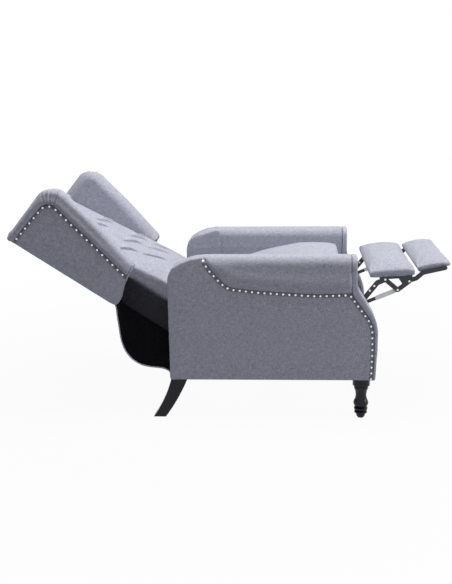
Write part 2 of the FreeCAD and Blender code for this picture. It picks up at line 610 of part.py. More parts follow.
nodes["seat_cushion"] = crowned_pad([(0, SEAT_HALF - 4, 0, 118, 140), (50, SEAT_HALF, 0, 140, 164),
                                     (200, SEAT_HALF - 3, 0, 152, 182), (330, SEAT_HALF - 3, 0, 153, 182),
                                     (420, SEAT_HALF - 1, 0, 143, 173), (458, SEAT_HALF - 2, 4, 134, 163),
                                     (474, SEAT_HALF - 4, 14, 126, 154)], on_seat)

# Footrest linkage, one layer of flat bars inside the other.
rear_ends = [REAR_PIVOT, KNEE_PIVOT]
nodes["rear_links"] = both_sides([flat_bar(rear_ends, *layer(1), holes=rear_ends)])
nodes["knee_pins"] = both_sides([cross_pin(*KNEE_PIVOT, layer(2)[0], layer(1)[1])])
link_rivets = [(743.0, 479.0), (759.0, 497.0)]
nodes["front_links"] = both_sides([flat_bar([KNEE_PIVOT, FRONT_LINK_BEND, PAD_PIVOT], *layer(2),
                                            holes=[KNEE_PIVOT, PAD_PIVOT] + link_rivets)])
nodes["front_link_rivets"] = both_sides([cross_pin(*point, *layer(2)) for point in link_rivets])
nodes["rear_control_links"] = both_sides([flat_bar([CONTROL_PIVOT, CONTROL_KNEE], *layer(5),
                                                   holes=[CONTROL_PIVOT, CONTROL_KNEE])])
nodes["control_knee_pins"] = both_sides([cross_pin(*CONTROL_KNEE, layer(5)[0], layer(4)[0] - SLIP)])


def between(first, last, share):
    return (first[0] + (last[0] - first[0]) * share, first[1] + (last[1] - first[1]) * share)


SLEEVE_FROM = 0.53
control_bar = flat_bar([CONTROL_KNEE, PAD_CONTROL], *layer(4), width=13, holes=[PAD_CONTROL, CONTROL_KNEE])
nodes["front_control_links"] = both_sides([control_bar])
sleeve_ends = [between(CONTROL_KNEE, PAD_CONTROL, SLEEVE_FROM), between(CONTROL_KNEE, PAD_CONTROL, 0.9)]
sleeve = flat_bar(sleeve_ends, layer(4)[0] - 0.4, layer(4)[1] + 0.4, width=16).cut(control_bar)
nodes["control_link_sleeves"] = both_sides([sleeve])

# Pad bracket: an open triangle of steel bar under a flange, on each side.
PAD_REAR = -57.0
PAD_FRONT = 111.0
PAD_BOTTOM = 14.5
PAD_EDGE = 32.8
PAD_CROWN = 48.0
BOARD = 9.0
FLANGE_WIDTH = 29.5


def flange(place, x_from, x_to, level):
    return plate([(x_from, level - STEEL), (x_to, level - STEEL), (x_to, level), (x_from, level)],
                 layer(3)[1] - FLANGE_WIDTH, layer(3)[1], place)


triangle = flat_bar([PAD_PIVOT, PAD_CONTROL, FLIPPER_PIVOT], *layer(3), width=17)
top_bar = flat_bar([xy(on_pad(-14, PAD_BOTTOM - 7)), xy(on_pad(94, PAD_BOTTOM - 7))], *layer(3), width=14)
post_bar = flat_bar([FLIPPER_PIVOT, xy(on_pad(90, PAD_BOTTOM - 8))], *layer(3), width=15)
heel_bar = flat_bar([PAD_PIVOT, xy(on_pad(0, PAD_BOTTOM - 9))], *layer(3), width=17)
gusset = plate([xy(on_pad(46, PAD_BOTTOM - 9)), between(PAD_CONTROL, FLIPPER_PIVOT, 0.5),
                FLIPPER_PIVOT, xy(on_pad(90, PAD_BOTTOM - 9))], *layer(3))
pad_flange = flange(on_pad, -20, 100, PAD_BOTTOM)
pad_bracket = triangle.multiFuse([top_bar, post_bar, heel_bar, gusset, pad_flange]).removeSplitter()
nodes["pad_brackets"] = both_sides([bored(pad_bracket, [PAD_PIVOT, PAD_CONTROL, FLIPPER_PIVOT], *layer(3))])
nodes["footrest_pins"] = both_sides([cross_pin(*PAD_PIVOT, layer(3)[0], layer(2)[1]),
                                     cross_pin(*PAD_CONTROL, layer(4)[0], layer(3)[1]),
                                     cross_pin(*FLIPPER_PIVOT, layer(6)[0], layer(3)[1])])

flipper_layer = layer(6)
FLIPPER_REAR = 37.8
FLIPPER_FRONT = 164.5
FLIPPER_BOTTOM = 28.0
FLIPPER_EDGE = 43.5
FLIPPER_CROWN = 53.0
arm_line = [(0, 0), (28, 3), (56, 19), (138, 20)]
arm_bar = flat_bar([xy(on_flipper(*point)) for point in arm_line], *flipper_layer, width=17)
FLIPPER_FLANGE = 33.0
flipper_flange = plate([(47, FLIPPER_BOTTOM - STEEL), (142, FLIPPER_BOTTOM - STEEL), (142, FLIPPER_BOTTOM),
                        (47, FLIPPER_BOTTOM)],
                       flipper_layer[1] - FLIPPER_FLANGE, flipper_layer[1], on_flipper)
flipper_bracket = arm_bar.fuse(flipper_flange).removeSplitter()
nodes["flipper_brackets"] = both_sides([bored(flipper_bracket, [FLIPPER_PIVOT], *flipper_layer)])


def footrest_cushion(place, start, end, half, bottom, edge, crown):
    """Board and the crowned pad wrapped over it and its edges."""
    inset = 8.0
    board = plate([(start + inset, bottom), (end - inset, bottom), (end - inset, bottom + BOARD),
                   (start + inset, bottom + BOARD)], -half + inset, half - inset, place)
    span = end - start
    rise = crown - edge
    pad = crowned_pad([(start, half - 2, bottom, edge - 2, edge + rise * 0.35),
                       (start + span * 0.14, half, bottom, edge, edge + rise * 0.78),
                       (start + span * 0.5, half - 2, bottom, edge, crown),
                       (start + span * 0.86, half, bottom, edge, edge + rise * 0.78),
                       (end, half - 2, bottom, edge - 2, edge + rise * 0.35)], place, 1.0)
    return board, pad.cut(board)


board, pad = footrest_cushion(on_pad, PAD_REAR, PAD_FRONT, PAD_HALF, PAD_BOTTOM, PAD_EDGE, PAD_CROWN)
nodes["footrest_board"] = board
nodes["footrest_pad"] = pad
board, pad = footrest_cushion(on_flipper, FLIPPER_REAR, FLIPPER_FRONT, FLIPPER_HALF, FLIPPER_BOTTOM,
                              FLIPPER_EDGE, FLIPPER_CROWN)
nodes["flipper_board"] = board
nodes["flipper_pad"] = pad

# Move the origin to the middle of the outline on the floor and write each piece.
outline = Part.Compound(list(nodes.values())).optimalBoundingBox(False, False)
shift = Vector(-(outline.XMin + outline.XMax) / 2, 0, 0)
os.makedirs("parts", exist_ok=True)
for name, shape in nodes.items():
    placed = shape.copy()
    placed.translate(shift)
    placed.exportStep("parts/" + name + ".step")
print("pieces", len(nodes), "shift", round(shift.x, 6))
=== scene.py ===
import bmesh
import bpy
import json
import math
import numpy as np
from mathutils import Matrix, Vector
from mathutils.bvhtree import BVHTree
from mathutils.kdtree import KDTree

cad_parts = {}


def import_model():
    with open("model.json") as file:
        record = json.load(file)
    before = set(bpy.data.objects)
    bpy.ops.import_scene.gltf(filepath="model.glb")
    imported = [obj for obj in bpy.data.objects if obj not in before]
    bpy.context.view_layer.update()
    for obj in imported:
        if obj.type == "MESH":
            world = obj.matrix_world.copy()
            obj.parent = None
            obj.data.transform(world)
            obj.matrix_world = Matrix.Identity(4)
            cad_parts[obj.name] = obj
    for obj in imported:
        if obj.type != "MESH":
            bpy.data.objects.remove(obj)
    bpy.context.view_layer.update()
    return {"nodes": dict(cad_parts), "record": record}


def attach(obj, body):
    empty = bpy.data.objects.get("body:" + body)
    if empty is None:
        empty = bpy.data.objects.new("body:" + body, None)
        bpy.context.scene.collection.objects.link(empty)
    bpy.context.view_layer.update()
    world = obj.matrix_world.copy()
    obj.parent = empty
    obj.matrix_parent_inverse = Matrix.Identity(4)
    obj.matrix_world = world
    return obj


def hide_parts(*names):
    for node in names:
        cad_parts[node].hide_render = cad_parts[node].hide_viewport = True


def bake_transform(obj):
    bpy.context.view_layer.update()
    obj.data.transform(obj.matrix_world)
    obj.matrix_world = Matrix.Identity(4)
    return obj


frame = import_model()
nodes = frame["nodes"]
scene = bpy.context.scene

# Millimetres below are counted as in the part's source: X from the rear edge of the arms.
MM = 0.001
ARM_REAR = -230.563383
PIVOT = (10.0, 352.0)
SLOPE = math.radians(33.3)
SIDES = (("left", 1), ("right", -1))


def world(x, y, z):
    """Metres in the frame, from millimetres counted from the arms' rear edge."""
    return np.stack(np.broadcast_arrays((x + ARM_REAR) * MM, y * MM, z * MM), -1)


def from_rear(co):
    """How far points in the frame lie in front of the arms' rear edge, in mm."""
    return co[:, 0] / MM - ARM_REAR


def back_plane(a, b):
    """The (x, z) millimetres of places up the back and out of it."""
    x = PIVOT[0] - a * math.cos(SLOPE) + b * math.sin(SLOPE)
    z = PIVOT[1] + a * math.sin(SLOPE) + b * math.cos(SLOPE)
    return x, z


def on_back(a, y, b):
    """Metres in the frame, from millimetres up the back, across it and out of it."""
    x, z = back_plane(a, b)
    return world(x, y, z)


def back_coords(co):
    """The (a, y, b) millimetres of points in the frame."""
    x = from_rear(co) - PIVOT[0]
    z = co[:, 2] / MM - PIVOT[1]
    a = -x * math.cos(SLOPE) + z * math.sin(SLOPE)
    b = x * math.sin(SLOPE) + z * math.cos(SLOPE)
    return a, co[:, 1] / MM, b


class Slope:
    """A line that rises forward from an origin: places on it and the way back from the frame."""

    def __init__(self, x, z, degrees):
        self.x, self.z = x, z
        self.cos, self.sin = math.cos(math.radians(degrees)), math.sin(math.radians(degrees))

    def place(self, along, y, out):
        x = self.x + along * self.cos - out * self.sin
        z = self.z + along * self.sin + out * self.cos
        return world(x, y, z)

    def coords(self, co):
        x = from_rear(co) - self.x
        z = co[:, 2] / MM - self.z
        return x * self.cos + z * self.sin, co[:, 1] / MM, z * self.cos - x * self.sin


def smoothstep(value, low, high):
    """0 up to low and 1 from high on, with a soft rise between them."""
    share = np.clip((value - low) / (high - low), 0, 1)
    return share * share * (3 - 2 * share)


def bell(value, middle, width):
    """1 at the middle, and nearly 0 two widths away from it."""
    return np.exp(-((value - middle) / width) ** 2)


def tangents(line):
    """Unit vectors along a line of points."""
    ahead = np.gradient(line, axis=0)
    return ahead / np.linalg.norm(ahead, axis=1)[:, None]


def plane_tree(points):
    """Search tree of points in a plane."""
    tree = KDTree(len(points))
    for i, spot in enumerate(points):
        tree.insert((spot[0], spot[1], 0), i)
    tree.balance()
    return tree


def coords(mesh):
    co = np.empty(len(mesh.vertices) * 3, np.float32)
    mesh.vertices.foreach_get("co", co)
    return co.reshape(-1, 3).astype(float)


def normals(mesh):
    found = np.empty(len(mesh.vertices) * 3, np.float32)
    mesh.vertices.foreach_get("normal", found)
    return found.reshape(-1, 3).astype(float)


def set_coords(mesh, co):
    mesh.vertices.foreach_set("co", np.asarray(co, np.float32).ravel())
    mesh.update()


def new_piece(name, verts, faces):
    mesh = bpy.data.meshes.new(name)
    mesh.from_pydata([tuple(v) for v in verts], [], faces)
    mesh.update()
    obj = bpy.data.objects.new(name, mesh)
    scene.collection.objects.link(obj)
    return obj


def cad_copy(name, *names):
    """A new object with the joined meshes of some CAD nodes."""
    bm = bmesh.new()
    for node in names:
        bm.from_mesh(nodes[node].data)
    bmesh.ops.remove_doubles(bm, verts=bm.verts, dist=1e-5)
    obj = new_piece(name, [], [])
    bm.to_mesh(obj.data)
    bm.free()
    return obj


def add_slab(obj, outline, widths, sign, place):
    """Adds a straight slab between two widths of one side to a mesh that is remeshed later."""
    bm = bmesh.new()
    bm.from_mesh(obj.data)
    rings = [[bm.verts.new(place(p, sign * y, q)) for p, q in outline] for y in widths]
    count = len(outline)
    bm.faces.new(rings[0])
    bm.faces.new(rings[1][::-1])
    for i in range(count):
        j = (i + 1) % count
        bm.faces.new((rings[0][j], rings[0][i], rings[1][i], rings[1][j]))
    bmesh.ops.recalc_face_normals(bm, faces=bm.faces)
    bm.to_mesh(obj.data)
    bm.free()


def settled(obj):
    """Makes the result of the modifiers the object's own mesh."""
    graph = bpy.context.evaluated_depsgraph_get()
    mesh = bpy.data.meshes.new_from_object(obj.evaluated_get(graph))
    obj.modifiers.clear()
    old = obj.data
    obj.data = mesh
    bpy.data.meshes.remove(old)
    mesh.name = obj.name
    return obj


def remeshed(obj, voxel, rounds):
    """One even closed skin over the mesh, with its edges softened."""
    change = obj.modifiers.new("skin", "REMESH")
    change.mode = "VOXEL"
    change.voxel_size = voxel * MM
    soft = obj.modifiers.new("soft", "SMOOTH")
    soft.factor = 0.5
    soft.iterations = rounds
    return settled(obj)


def finer(obj):
    """Splits every face once and rounds the mesh."""
    change = obj.modifiers.new("finer", "SUBSURF")
    change.levels = change.render_levels = 1
    settled(obj)


# The cloth that fills the cushions, and the frames that its simulation runs for.
CLOTH = {"quality": 4, "mass": 0.3, "tension_stiffness": 15, "compression_stiffness": 15,
         "shear_stiffness": 5, "bending_stiffness": 0.5, "use_pressure": True,
         "uniform_pressure_force": 4.0}
CLOTH_FRAMES = 12


def swollen(obj, cap, keep):
    """Fills a cushion by a cloth simulation; no point moves further than cap, in mm."""
    start = coords(obj.data)
    cloth = obj.modifiers.new("cloth", "CLOTH")
    for key, value in CLOTH.items():
        setattr(cloth.settings, key, value)
    cloth.settings.effector_weights.gravity = 0
    cloth.collision_settings.use_collision = False
    cloth.point_cache.frame_start = 1
    cloth.point_cache.frame_end = CLOTH_FRAMES
    group = obj.vertex_groups.new(name="keep")
    group.add([int(i) for i in np.nonzero(keep(start))[0]], 1.0, "REPLACE")
    cloth.settings.vertex_group_mass = "keep"
    for number in range(1, CLOTH_FRAMES + 1):
        scene.frame_set(number)
    graph = bpy.context.evaluated_depsgraph_get()
    end = coords(obj.evaluated_get(graph).data)
    obj.modifiers.clear()
    obj.vertex_groups.clear()
    scene.frame_set(1)
    move = end - start
    reach = np.linalg.norm(move, axis=1) + 1e-9
    set_coords(obj.data, start + move * np.minimum(1, cap * MM / reach)[:, None])


def pushed(obj, depth):
    """Moves each point along its normal by depth(points, normals), in mm."""
    co = coords(obj.data)
    out = normals(obj.data)
    set_coords(obj.data, co + out * (depth(co, out) * MM)[:, None])


def smooth_line(points, step):
    """Points about a step apart on a smooth line through the points, in mm."""
    points = [np.array(p, float) for p in points]
    ends = [2 * points[0] - points[1]] + points + [2 * points[-1] - points[-2]]
    line = []
    for p0, p1, p2, p3 in zip(ends, ends[1:], ends[2:], ends[3:]):
        count = max(2, int(round(np.linalg.norm(p2 - p1) / step)))
        for i in range(count):
            t = i / count
            line.append(0.5 * (2 * p1 + (p2 - p0) * t + (2 * p0 - 5 * p1 + 4 * p2 - p3) * t * t
                               + (3 * p1 - p0 - 3 * p2 + p3) * t ** 3))
    line.append(points[-1])
    return np.array(line)


def refined(obj, chosen):
    """Splits the faces of a mesh once more where chosen(points) is true."""
    wanted = chosen(coords(obj.data))
    bm = bmesh.new()
    bm.from_mesh(obj.data)
    edges = [edge for edge in bm.edges if all(wanted[v.index] for v in edge.verts)]
    bmesh.ops.subdivide_edges(bm, edges=edges, cuts=1, use_grid_fill=True)
    bm.to_mesh(obj.data)
    bm.free()


def rounded_rim(obj, line, radii):
    """Rounds a wing's rolled edge, a line on the back, to radii at its inner and outer face."""
    a, y, b = back_coords(coords(obj.data))
    wide = np.abs(y)
    faces = (wide.min(), wide.max())
    tree = plane_tree(line)
    near = np.array([tree.find((u, v, 0))[1] for u, v in zip(a, b)])
    ahead = tangents(line)
    inward = np.stack((ahead[:, 1], -ahead[:, 0]), -1)[near]
    deep = (a - line[near, 0]) * inward[:, 0] + (b - line[near, 1]) * inward[:, 1]
    start = deep.copy()
    for face, turn, radius in zip(faces, (1, -1), radii):
        middle = face + turn * radius
        down, aside = deep - radius, wide - middle
        corner = (down < 0) & (aside * turn < 0)
        reach = np.maximum(np.hypot(down, aside), 1e-6)
        share = np.where(corner, np.minimum(1, radius / reach), 1)
        deep = np.where(corner, radius + down * share, deep)
        wide = np.where(corner, middle + aside * share, wide)
    move = (deep - start)[:, None] * inward
    set_coords(obj.data, on_back(a + move[:, 0], np.sign(y) * wide, b + move[:, 1]))


def line_distance(p, q, line):
    """How far each point (p, q) lies from the nearest point of a plane line, in mm."""
    tree = plane_tree(line)
    return np.array([tree.find((u, v, 0))[2] for u, v in zip(p, q)])


def laid(obj, line, lift):
    """A line in metres, moved to the nearest places on a piece and raised by lift, in mm."""
    mesh = obj.data
    tree = BVHTree.FromPolygons([v.co[:] for v in mesh.vertices],
                                [f.vertices[:] for f in mesh.polygons])
    found = [tree.find_nearest(Vector(spot)) for spot in line]
    return np.array([np.array(place) + np.array(normal) * lift * MM
                     for place, normal, _, _ in found])


# Rows that smooth a cushion's outline on each side, and points across a cushion.
SMOOTHED = 8
ACROSS = 121


def loft(name, place, stations, step, square=2):
    """Closed cushion through stations, in mm: along, half width, under side, edge and crown."""
    stations = np.array(stations, float)
    first, last = stations[0, 0], stations[-1, 0]
    along = np.linspace(first, last, int(round((last - first) / step)) + 1)
    half, low, edge, crown = [np.interp(along, stations[:, 0], column)
                              for column in stations[:, 1:].T]
    blur = bell(np.arange(-SMOOTHED, SMOOTHED + 1), 0, SMOOTHED / 2)
    blur /= blur.sum()
    padded = [np.pad(v, SMOOTHED, mode="reflect", reflect_type="odd") for v in (edge, crown)]
    edge, crown = [np.convolve(v, blur, "valid") for v in padded]
    across = np.linspace(-1, 1, ACROSS)
    y = half[:, None] * across
    length = np.broadcast_to(along[:, None], y.shape)
    top = edge[:, None] + (crown - edge)[:, None] * (1 - np.abs(across) ** square)
    rows, columns = y.shape
    count = rows * columns
    sides = [place(length, y, top), place(length, y, np.broadcast_to(low[:, None], y.shape))]
    verts = np.concatenate([side.reshape(-1, 3) for side in sides])
    faces = []
    for i in range(rows - 1):
        for j in range(columns - 1):
            v = i * columns + j
            faces.append((v, v + 1, v + columns + 1, v + columns))
    faces += [tuple(v + count for v in face[::-1]) for face in faces]
    rim = rim_of(rows, columns)
    faces += [(q, q + count, p + count, p) for p, q in zip(rim, rim[1:] + rim[:1])]
    obj = new_piece(name, verts, faces)
    bm = bmesh.new()
    bm.from_mesh(obj.data)
    bmesh.ops.recalc_face_normals(bm, faces=bm.faces)
    bm.to_mesh(obj.data)
    bm.free()
    return obj


def rim_of(rows, columns):
    """The points round the edge of a grid, in order."""
    down = [i * columns for i in range(rows)]
    along = [(rows - 1) * columns + j for j in range(1, columns)]
    up = [i * columns + columns - 1 for i in range(rows - 2, -1, -1)]
    return down + along + up + list(range(columns - 2, 0, -1))


def band_faces(rows, count):
    """Faces of a row of rings with count points each, closed at both ends."""
    faces = []
    for i in range(rows - 1):
        for k in range(count):
            n = (k + 1) % count
            faces.append((i * count + k, i * count + n, (i + 1) * count + n, (i + 1) * count + k))
    faces.append(tuple(range(count))[::-1])
    faces.append(tuple(range((rows - 1) * count, rows * count)))
    return faces


# A direction that no welt starts along.
ASKEW = (0.3, 0.5, 0.81)


def tube(name, line, radius, sides=10):
    """Round welt along points given in metres, closed at both ends."""
    line = np.asarray(line, float)
    ahead = tangents(line)
    side = np.cross(ahead[0], ASKEW)
    verts = []
    for i, point in enumerate(line):
        side = side - ahead[i] * (side @ ahead[i])
        side /= np.linalg.norm(side)
        other = np.cross(ahead[i], side)
        for k in range(sides):
            turn = 2 * math.pi * k / sides
            verts.append(point + (side * math.cos(turn) + other * math.sin(turn)) * radius * MM)
    return new_piece(name, verts, band_faces(len(line), sides))


def ribbon(name, line, place, y, half, thick):
    """Flat braid along a plane line, on the face at width y of one side, in mm."""
    line = np.asarray(line, float)
    ahead = tangents(line)
    aside = np.stack((ahead[:, 1], -ahead[:, 0]), -1)
    sunk, shoulder, edge = 0.6, 0.6, 0.6 * thick
    section = [(-half, -sunk), (-half, edge), (shoulder - half, thick),
               (half - shoulder, thick), (half, edge), (half, -sunk)]
    sign = math.copysign(1, y)
    rings = [place(line[:, 0] + aside[:, 0] * u, y + sign * v, line[:, 1] + aside[:, 1] * u)
             for u, v in section]
    verts = np.stack(rings, 1).reshape(-1, 3)
    faces = [face[::int(sign)] for face in band_faces(len(line), len(section))]
    return new_piece(name, verts, faces)


def sheet_piece(name, grid, thickness):
    """Cloth over a grid of points in metres; its second material is on the under side."""
    rows, columns = grid.shape[:2]
    out = np.cross(np.gradient(grid, axis=0), np.gradient(grid, axis=1))
    out /= np.linalg.norm(out, axis=2)[:, :, None]
    under = grid - out * thickness * MM
    count = rows * columns
    faces = []
    for i in range(rows - 1):
        for j in range(columns - 1):
            a = i * columns + j
            faces.append((a, a + columns, a + columns + 1, a + 1))
    lower = [tuple(v + count for v in face[::-1]) for face in faces]
    rim = rim_of(rows, columns)
    edge = [(p, p + count, q + count, q) for p, q in zip(rim, rim[1:] + rim[:1])]
    verts = np.concatenate([grid.reshape(-1, 3), under.reshape(-1, 3)])
    obj = new_piece(name, verts, faces + lower + edge)
    turned = np.zeros(len(obj.data.polygons), np.int32)
    turned[len(faces):2 * len(faces)] = 1
    obj["under_faces"] = turned.tolist()
    return obj


# Materials

class Shader:
    """A material's nodes, built one after the other."""

    def __init__(self, name):
        self.material = bpy.data.materials.new(name)
        self.material.use_nodes = True
        self.tree = self.material.node_tree
        self.surface = self.tree.nodes["Principled BSDF"]

    def add(self, kind, **values):
        node = self.tree.nodes.new(kind)
        for key, value in values.items():
            setattr(node, key, value)
        return node

    def link(self, source, target):
        self.tree.links.new(source, target)

    def position(self, turn=0.0):
        """Object coordinates, turned about the width so that a weave follows a slope."""
        place = self.add("ShaderNodeTexCoord")
        if not turn:
            return place.outputs["Object"]
        mapping = self.add("ShaderNodeMapping")
        mapping.inputs["Rotation"].default_value = (0, turn, 0)
        self.link(place.outputs["Object"], mapping.inputs["Vector"])
        return mapping.outputs["Vector"]

    def noise(self, where, scale, stretch=(1, 1, 1), detail=2.0):
        mapping = self.add("ShaderNodeMapping")
        mapping.inputs["Scale"].default_value = [scale * s for s in stretch]
        self.link(where, mapping.inputs["Vector"])
        texture = self.add("ShaderNodeTexNoise")
        texture.inputs["Scale"].default_value = 1.0
        texture.inputs["Detail"].default_value = detail
        self.link(mapping.outputs["Vector"], texture.inputs["Vector"])
        return texture.outputs["Fac"]

    def math(self, operation, first, second):
        node = self.add("ShaderNodeMath", operation=operation)
        for value, socket in ((first, node.inputs[0]), (second, node.inputs[1])):
            if isinstance(value, (int, float)):
                socket.default_value = value
            else:
                self.link(value, socket)
        return node.outputs[0]

    def ramp(self, source, stops):
        node = self.add("ShaderNodeValToRGB")
        while len(node.color_ramp.elements) < len(stops):
            node.color_ramp.elements.new(0.5)
        for element, (place, colour) in zip(node.color_ramp.elements, stops):
            element.position = place
            element.color = (*colour, 1)
        self.link(source, node.inputs["Fac"])
        return node.outputs["Color"]

    def bump(self, height, strength, distance):
        node = self.add("ShaderNodeBump")
        node.inputs["Strength"].default_value = strength
        node.inputs["Distance"].default_value = distance * MM
        self.link(height, node.inputs["Height"])
        self.link(node.outputs["Normal"], self.surface.inputs["Normal"])

    def total(self, first, *others):
        """The sum of some outputs."""
        for other in others:
            first = self.math("ADD", first, other)
        return first

    def into(self, name, source):
        """Links an output to an input of the surface."""
        self.link(source, self.surface.inputs[name])

    def set(self, **values):
        for key, value in values.items():
            self.surface.inputs[key.replace("_", " ")].default_value = value


# Colours of the fabric, from the hollows of its weave to its raised threads.
WEAVE_STOPS = ((0.36, (0.165, 0.171, 0.232)), (0.5, (0.345, 0.352, 0.430)),
               (0.64, (0.600, 0.606, 0.690)))


def fabric(name, turn=0.0, depth=1.0):
    """Woven linen-look cloth: fine threads and thicker slubs three ways, for warp and weft."""
    shader = Shader(name)
    where = shader.position(turn)

    def weave(along, across, detail):
        ways = ((along, across, across), (across, across, along), (across, along, across))
        return shader.total(*[shader.noise(where, 1, way, detail) for way in ways])

    threads = weave(along=85, across=950, detail=2.0)
    slubs = weave(along=70, across=400, detail=3.0)
    mottle = shader.noise(where, 45, detail=3.0)
    shares = ((threads, 0.12), (slubs, 0.2), (mottle, 0.04))
    tone = shader.total(*[shader.math("MULTIPLY", part, share) for part, share in shares])
    stops = [(place, tuple(depth * part for part in tint)) for place, tint in WEAVE_STOPS]
    shader.into("Base Color", shader.ramp(tone, stops))
    rough = shader.ramp(threads, [(0.3, (0.98, 0.98, 0.98)), (0.7, (0.82, 0.82, 0.82))])
    shader.into("Roughness", rough)
    shader.bump(shader.math("ADD", threads, slubs), strength=0.45, distance=0.5)
    shader.set(Sheen_Weight=0.12, Sheen_Roughness=0.45, Specular_IOR_Level=0.12)
    return shader.material


def black_cloth(name, dark, light):
    """Black spun-bonded lining with its pattern of pressed dots."""
    shader = Shader(name)
    where = shader.position()
    dots = shader.add("ShaderNodeTexVoronoi")
    dots.inputs["Scale"].default_value = 620
    dots.inputs["Randomness"].default_value = 0.25
    shader.link(where, dots.inputs["Vector"])
    fuzz = shader.noise(where, 90, detail=4.0)
    shader.into("Base Color", shader.ramp(fuzz, [(0.3, dark), (0.7, light)]))
    rough = shader.ramp(dots.outputs["Distance"], [(0.1, (0.6, 0.6, 0.6)), (0.5, (0.9, 0.9, 0.9))])
    shader.into("Roughness", rough)
    shader.bump(dots.outputs["Distance"], strength=0.4, distance=0.3)
    shader.set(Sheen_Weight=0.03, Specular_IOR_Level=0.04)
    return shader.material


def grained(name, stretch, scale, dark, light, rough, strength, **values):
    """Wood, paint or metal: colour, gloss and bump from one stretched noise."""
    shader = Shader(name)
    where = shader.position()
    grain = shader.noise(where, scale, stretch, detail=5.0)
    fine = shader.noise(where, scale * 6, stretch, detail=2.0)
    shader.into("Base Color", shader.ramp(grain, [(0.3, dark), (0.7, light)]))
    low, high = rough
    shader.into("Roughness", shader.ramp(fine, [(0.3, (low,) * 3), (0.7, (high,) * 3)]))
    height = shader.math("ADD", grain, shader.math("MULTIPLY", fine, 0.4))
    shader.bump(height, strength, distance=0.3)
    shader.set(**values)
    return shader.material


level_fabric = fabric("upholstery")
back_fabric = fabric("upholstery_back", turn=-SLOPE)
# The braid's fabric is a copy at 0.6 of the tone: partly the braid's own darker colour, partly
# painted shade along the nail rows.
braid_and_painted_shade_fabric = fabric("braid", turn=0.6, depth=0.6)
# The front facing's fabric is a copy 1.12 times lighter: painted light from the front.
facing_painted_light_fabric = fabric("upholstery_front_painted_light", depth=1.12)
lining = black_cloth("black_lining", (0.028, 0.028, 0.036), (0.050, 0.050, 0.063))
# A copy of the black lining about ten times darker: painted shade for the linings deep under the
# back.
painted_shade_lining = black_cloth("black_lining_painted_shade", (0.002, 0.002, 0.003), (0.005, 0.005, 0.006))
leg_wood = grained("black_lacquer", (1, 1, 0.12), 160, (0.008, 0.008, 0.013),
                   (0.018, 0.018, 0.027), (0.12, 0.24), 0.12, Specular_IOR_Level=0.22)
timber = grained("frame_timber", (0.1, 1, 1), 120, (0.36, 0.22, 0.11), (0.56, 0.39, 0.22),
                 (0.6, 0.8), 0.4)
webbing = grained("black_webbing", (1, 0.15, 1), 700, (0.010, 0.010, 0.011), (0.03, 0.03, 0.032),
                  (0.7, 0.9), 0.6)
black_steel = grained("black_steel", (1, 1, 1), 420, (0.036, 0.036, 0.044), (0.070, 0.070, 0.084),
                      (0.32, 0.46), 0.2, Specular_IOR_Level=0.3)
# A darker, duller copy of the black steel: painted shade for steel deep in the shade.
painted_shade_steel = grained("black_steel_painted_shade", (1, 1, 1), 420, (0.026, 0.026, 0.033),
                     (0.044, 0.044, 0.055), (0.65, 0.8), 0.2, Specular_IOR_Level=0.06)
bright_steel = grained("zinc_steel", (1, 1, 1), 500, (0.60, 0.61, 0.63), (0.78, 0.79, 0.81),
                       (0.26, 0.42), 0.15, Metallic=1.0)
nickel = grained("nickel", (1, 1, 1), 800, (0.60, 0.60, 0.62), (0.80, 0.80, 0.82),
                 (0.20, 0.34), 0.12, Metallic=1.0)
sleeve_plastic = grained("clear_sleeve", (1, 1, 1), 300, (0.78, 0.78, 0.79), (0.88, 0.88, 0.89),
                         (0.3, 0.45), 0.15)
glide_plastic = grained("black_nylon", (1, 1, 1), 600, (0.012, 0.012, 0.012), (0.025, 0.025, 0.025),
                        (0.45, 0.6), 0.2)

SLOT_MATERIALS = {
    "leg_wood": leg_wood, "frame_wood": timber, "webbing": webbing, "black_steel": black_steel,
    "bright_steel": bright_steel, "nail_nickel": nickel, "sleeve_plastic": sleeve_plastic,
    "glide_plastic": glide_plastic, "upholstery_fabric": level_fabric, "black_cloth": lining,
}


def dressed(obj, body, materials, slot, *replaced, pad=None):
    """Gives a piece its material and body, and hides the CAD nodes that it stands for; its slot is
    not used.
    """
    obj.data.materials.clear()
    for material in materials:
        obj.data.materials.append(material)
    under = obj.get("under_faces")
    if under is not None:
        obj.data.polygons.foreach_set("material_index", list(under))
        del obj["under_faces"]
    obj.data.polygons.foreach_set("use_smooth", [True] * len(obj.data.polygons))
    if body:
        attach(obj, body)
    if replaced:
        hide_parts(*replaced)


def cloth_piece(obj, body, slope, *replaced, pad=None):
    """Dresses a piece in the fabric that is level or that follows the slope of the back."""
    material = back_fabric if slope else level_fabric
    dressed(obj, body, [material], "upholstery_fabric", *replaced, pad=pad)


# The normal's share across the chair: below the first it is a panel's rim, above the second its
# face. A side of a cover counts more and more between the last two.
RIM_TURN, FACE_TURN = 0.5, 0.6
SIDE_TURN = (0.3, 0.85)


def edge_distance(co, out):
    """How far each point lies, in mm in the XZ plane, from the nearest point of the rim."""
    tree = plane_tree(co[np.abs(out[:, 1]) < RIM_TURN][:, (0, 2)])
    return np.array([tree.find((p[0], p[2], 0))[2] for p in co]) / MM


def panel_crown(rise, reach):
    """Push for a padded panel: its outer face rises by rise, from its rim inward over reach."""
    def depth(co, out):
        inward = edge_distance(co, out)
        return rise * (1 - bell(inward, 0, reach)) * (np.abs(out[:, 1]) > FACE_TURN)
    return depth


# Lines of nails and edges have points this far apart.
LINE_STEP = 3.0

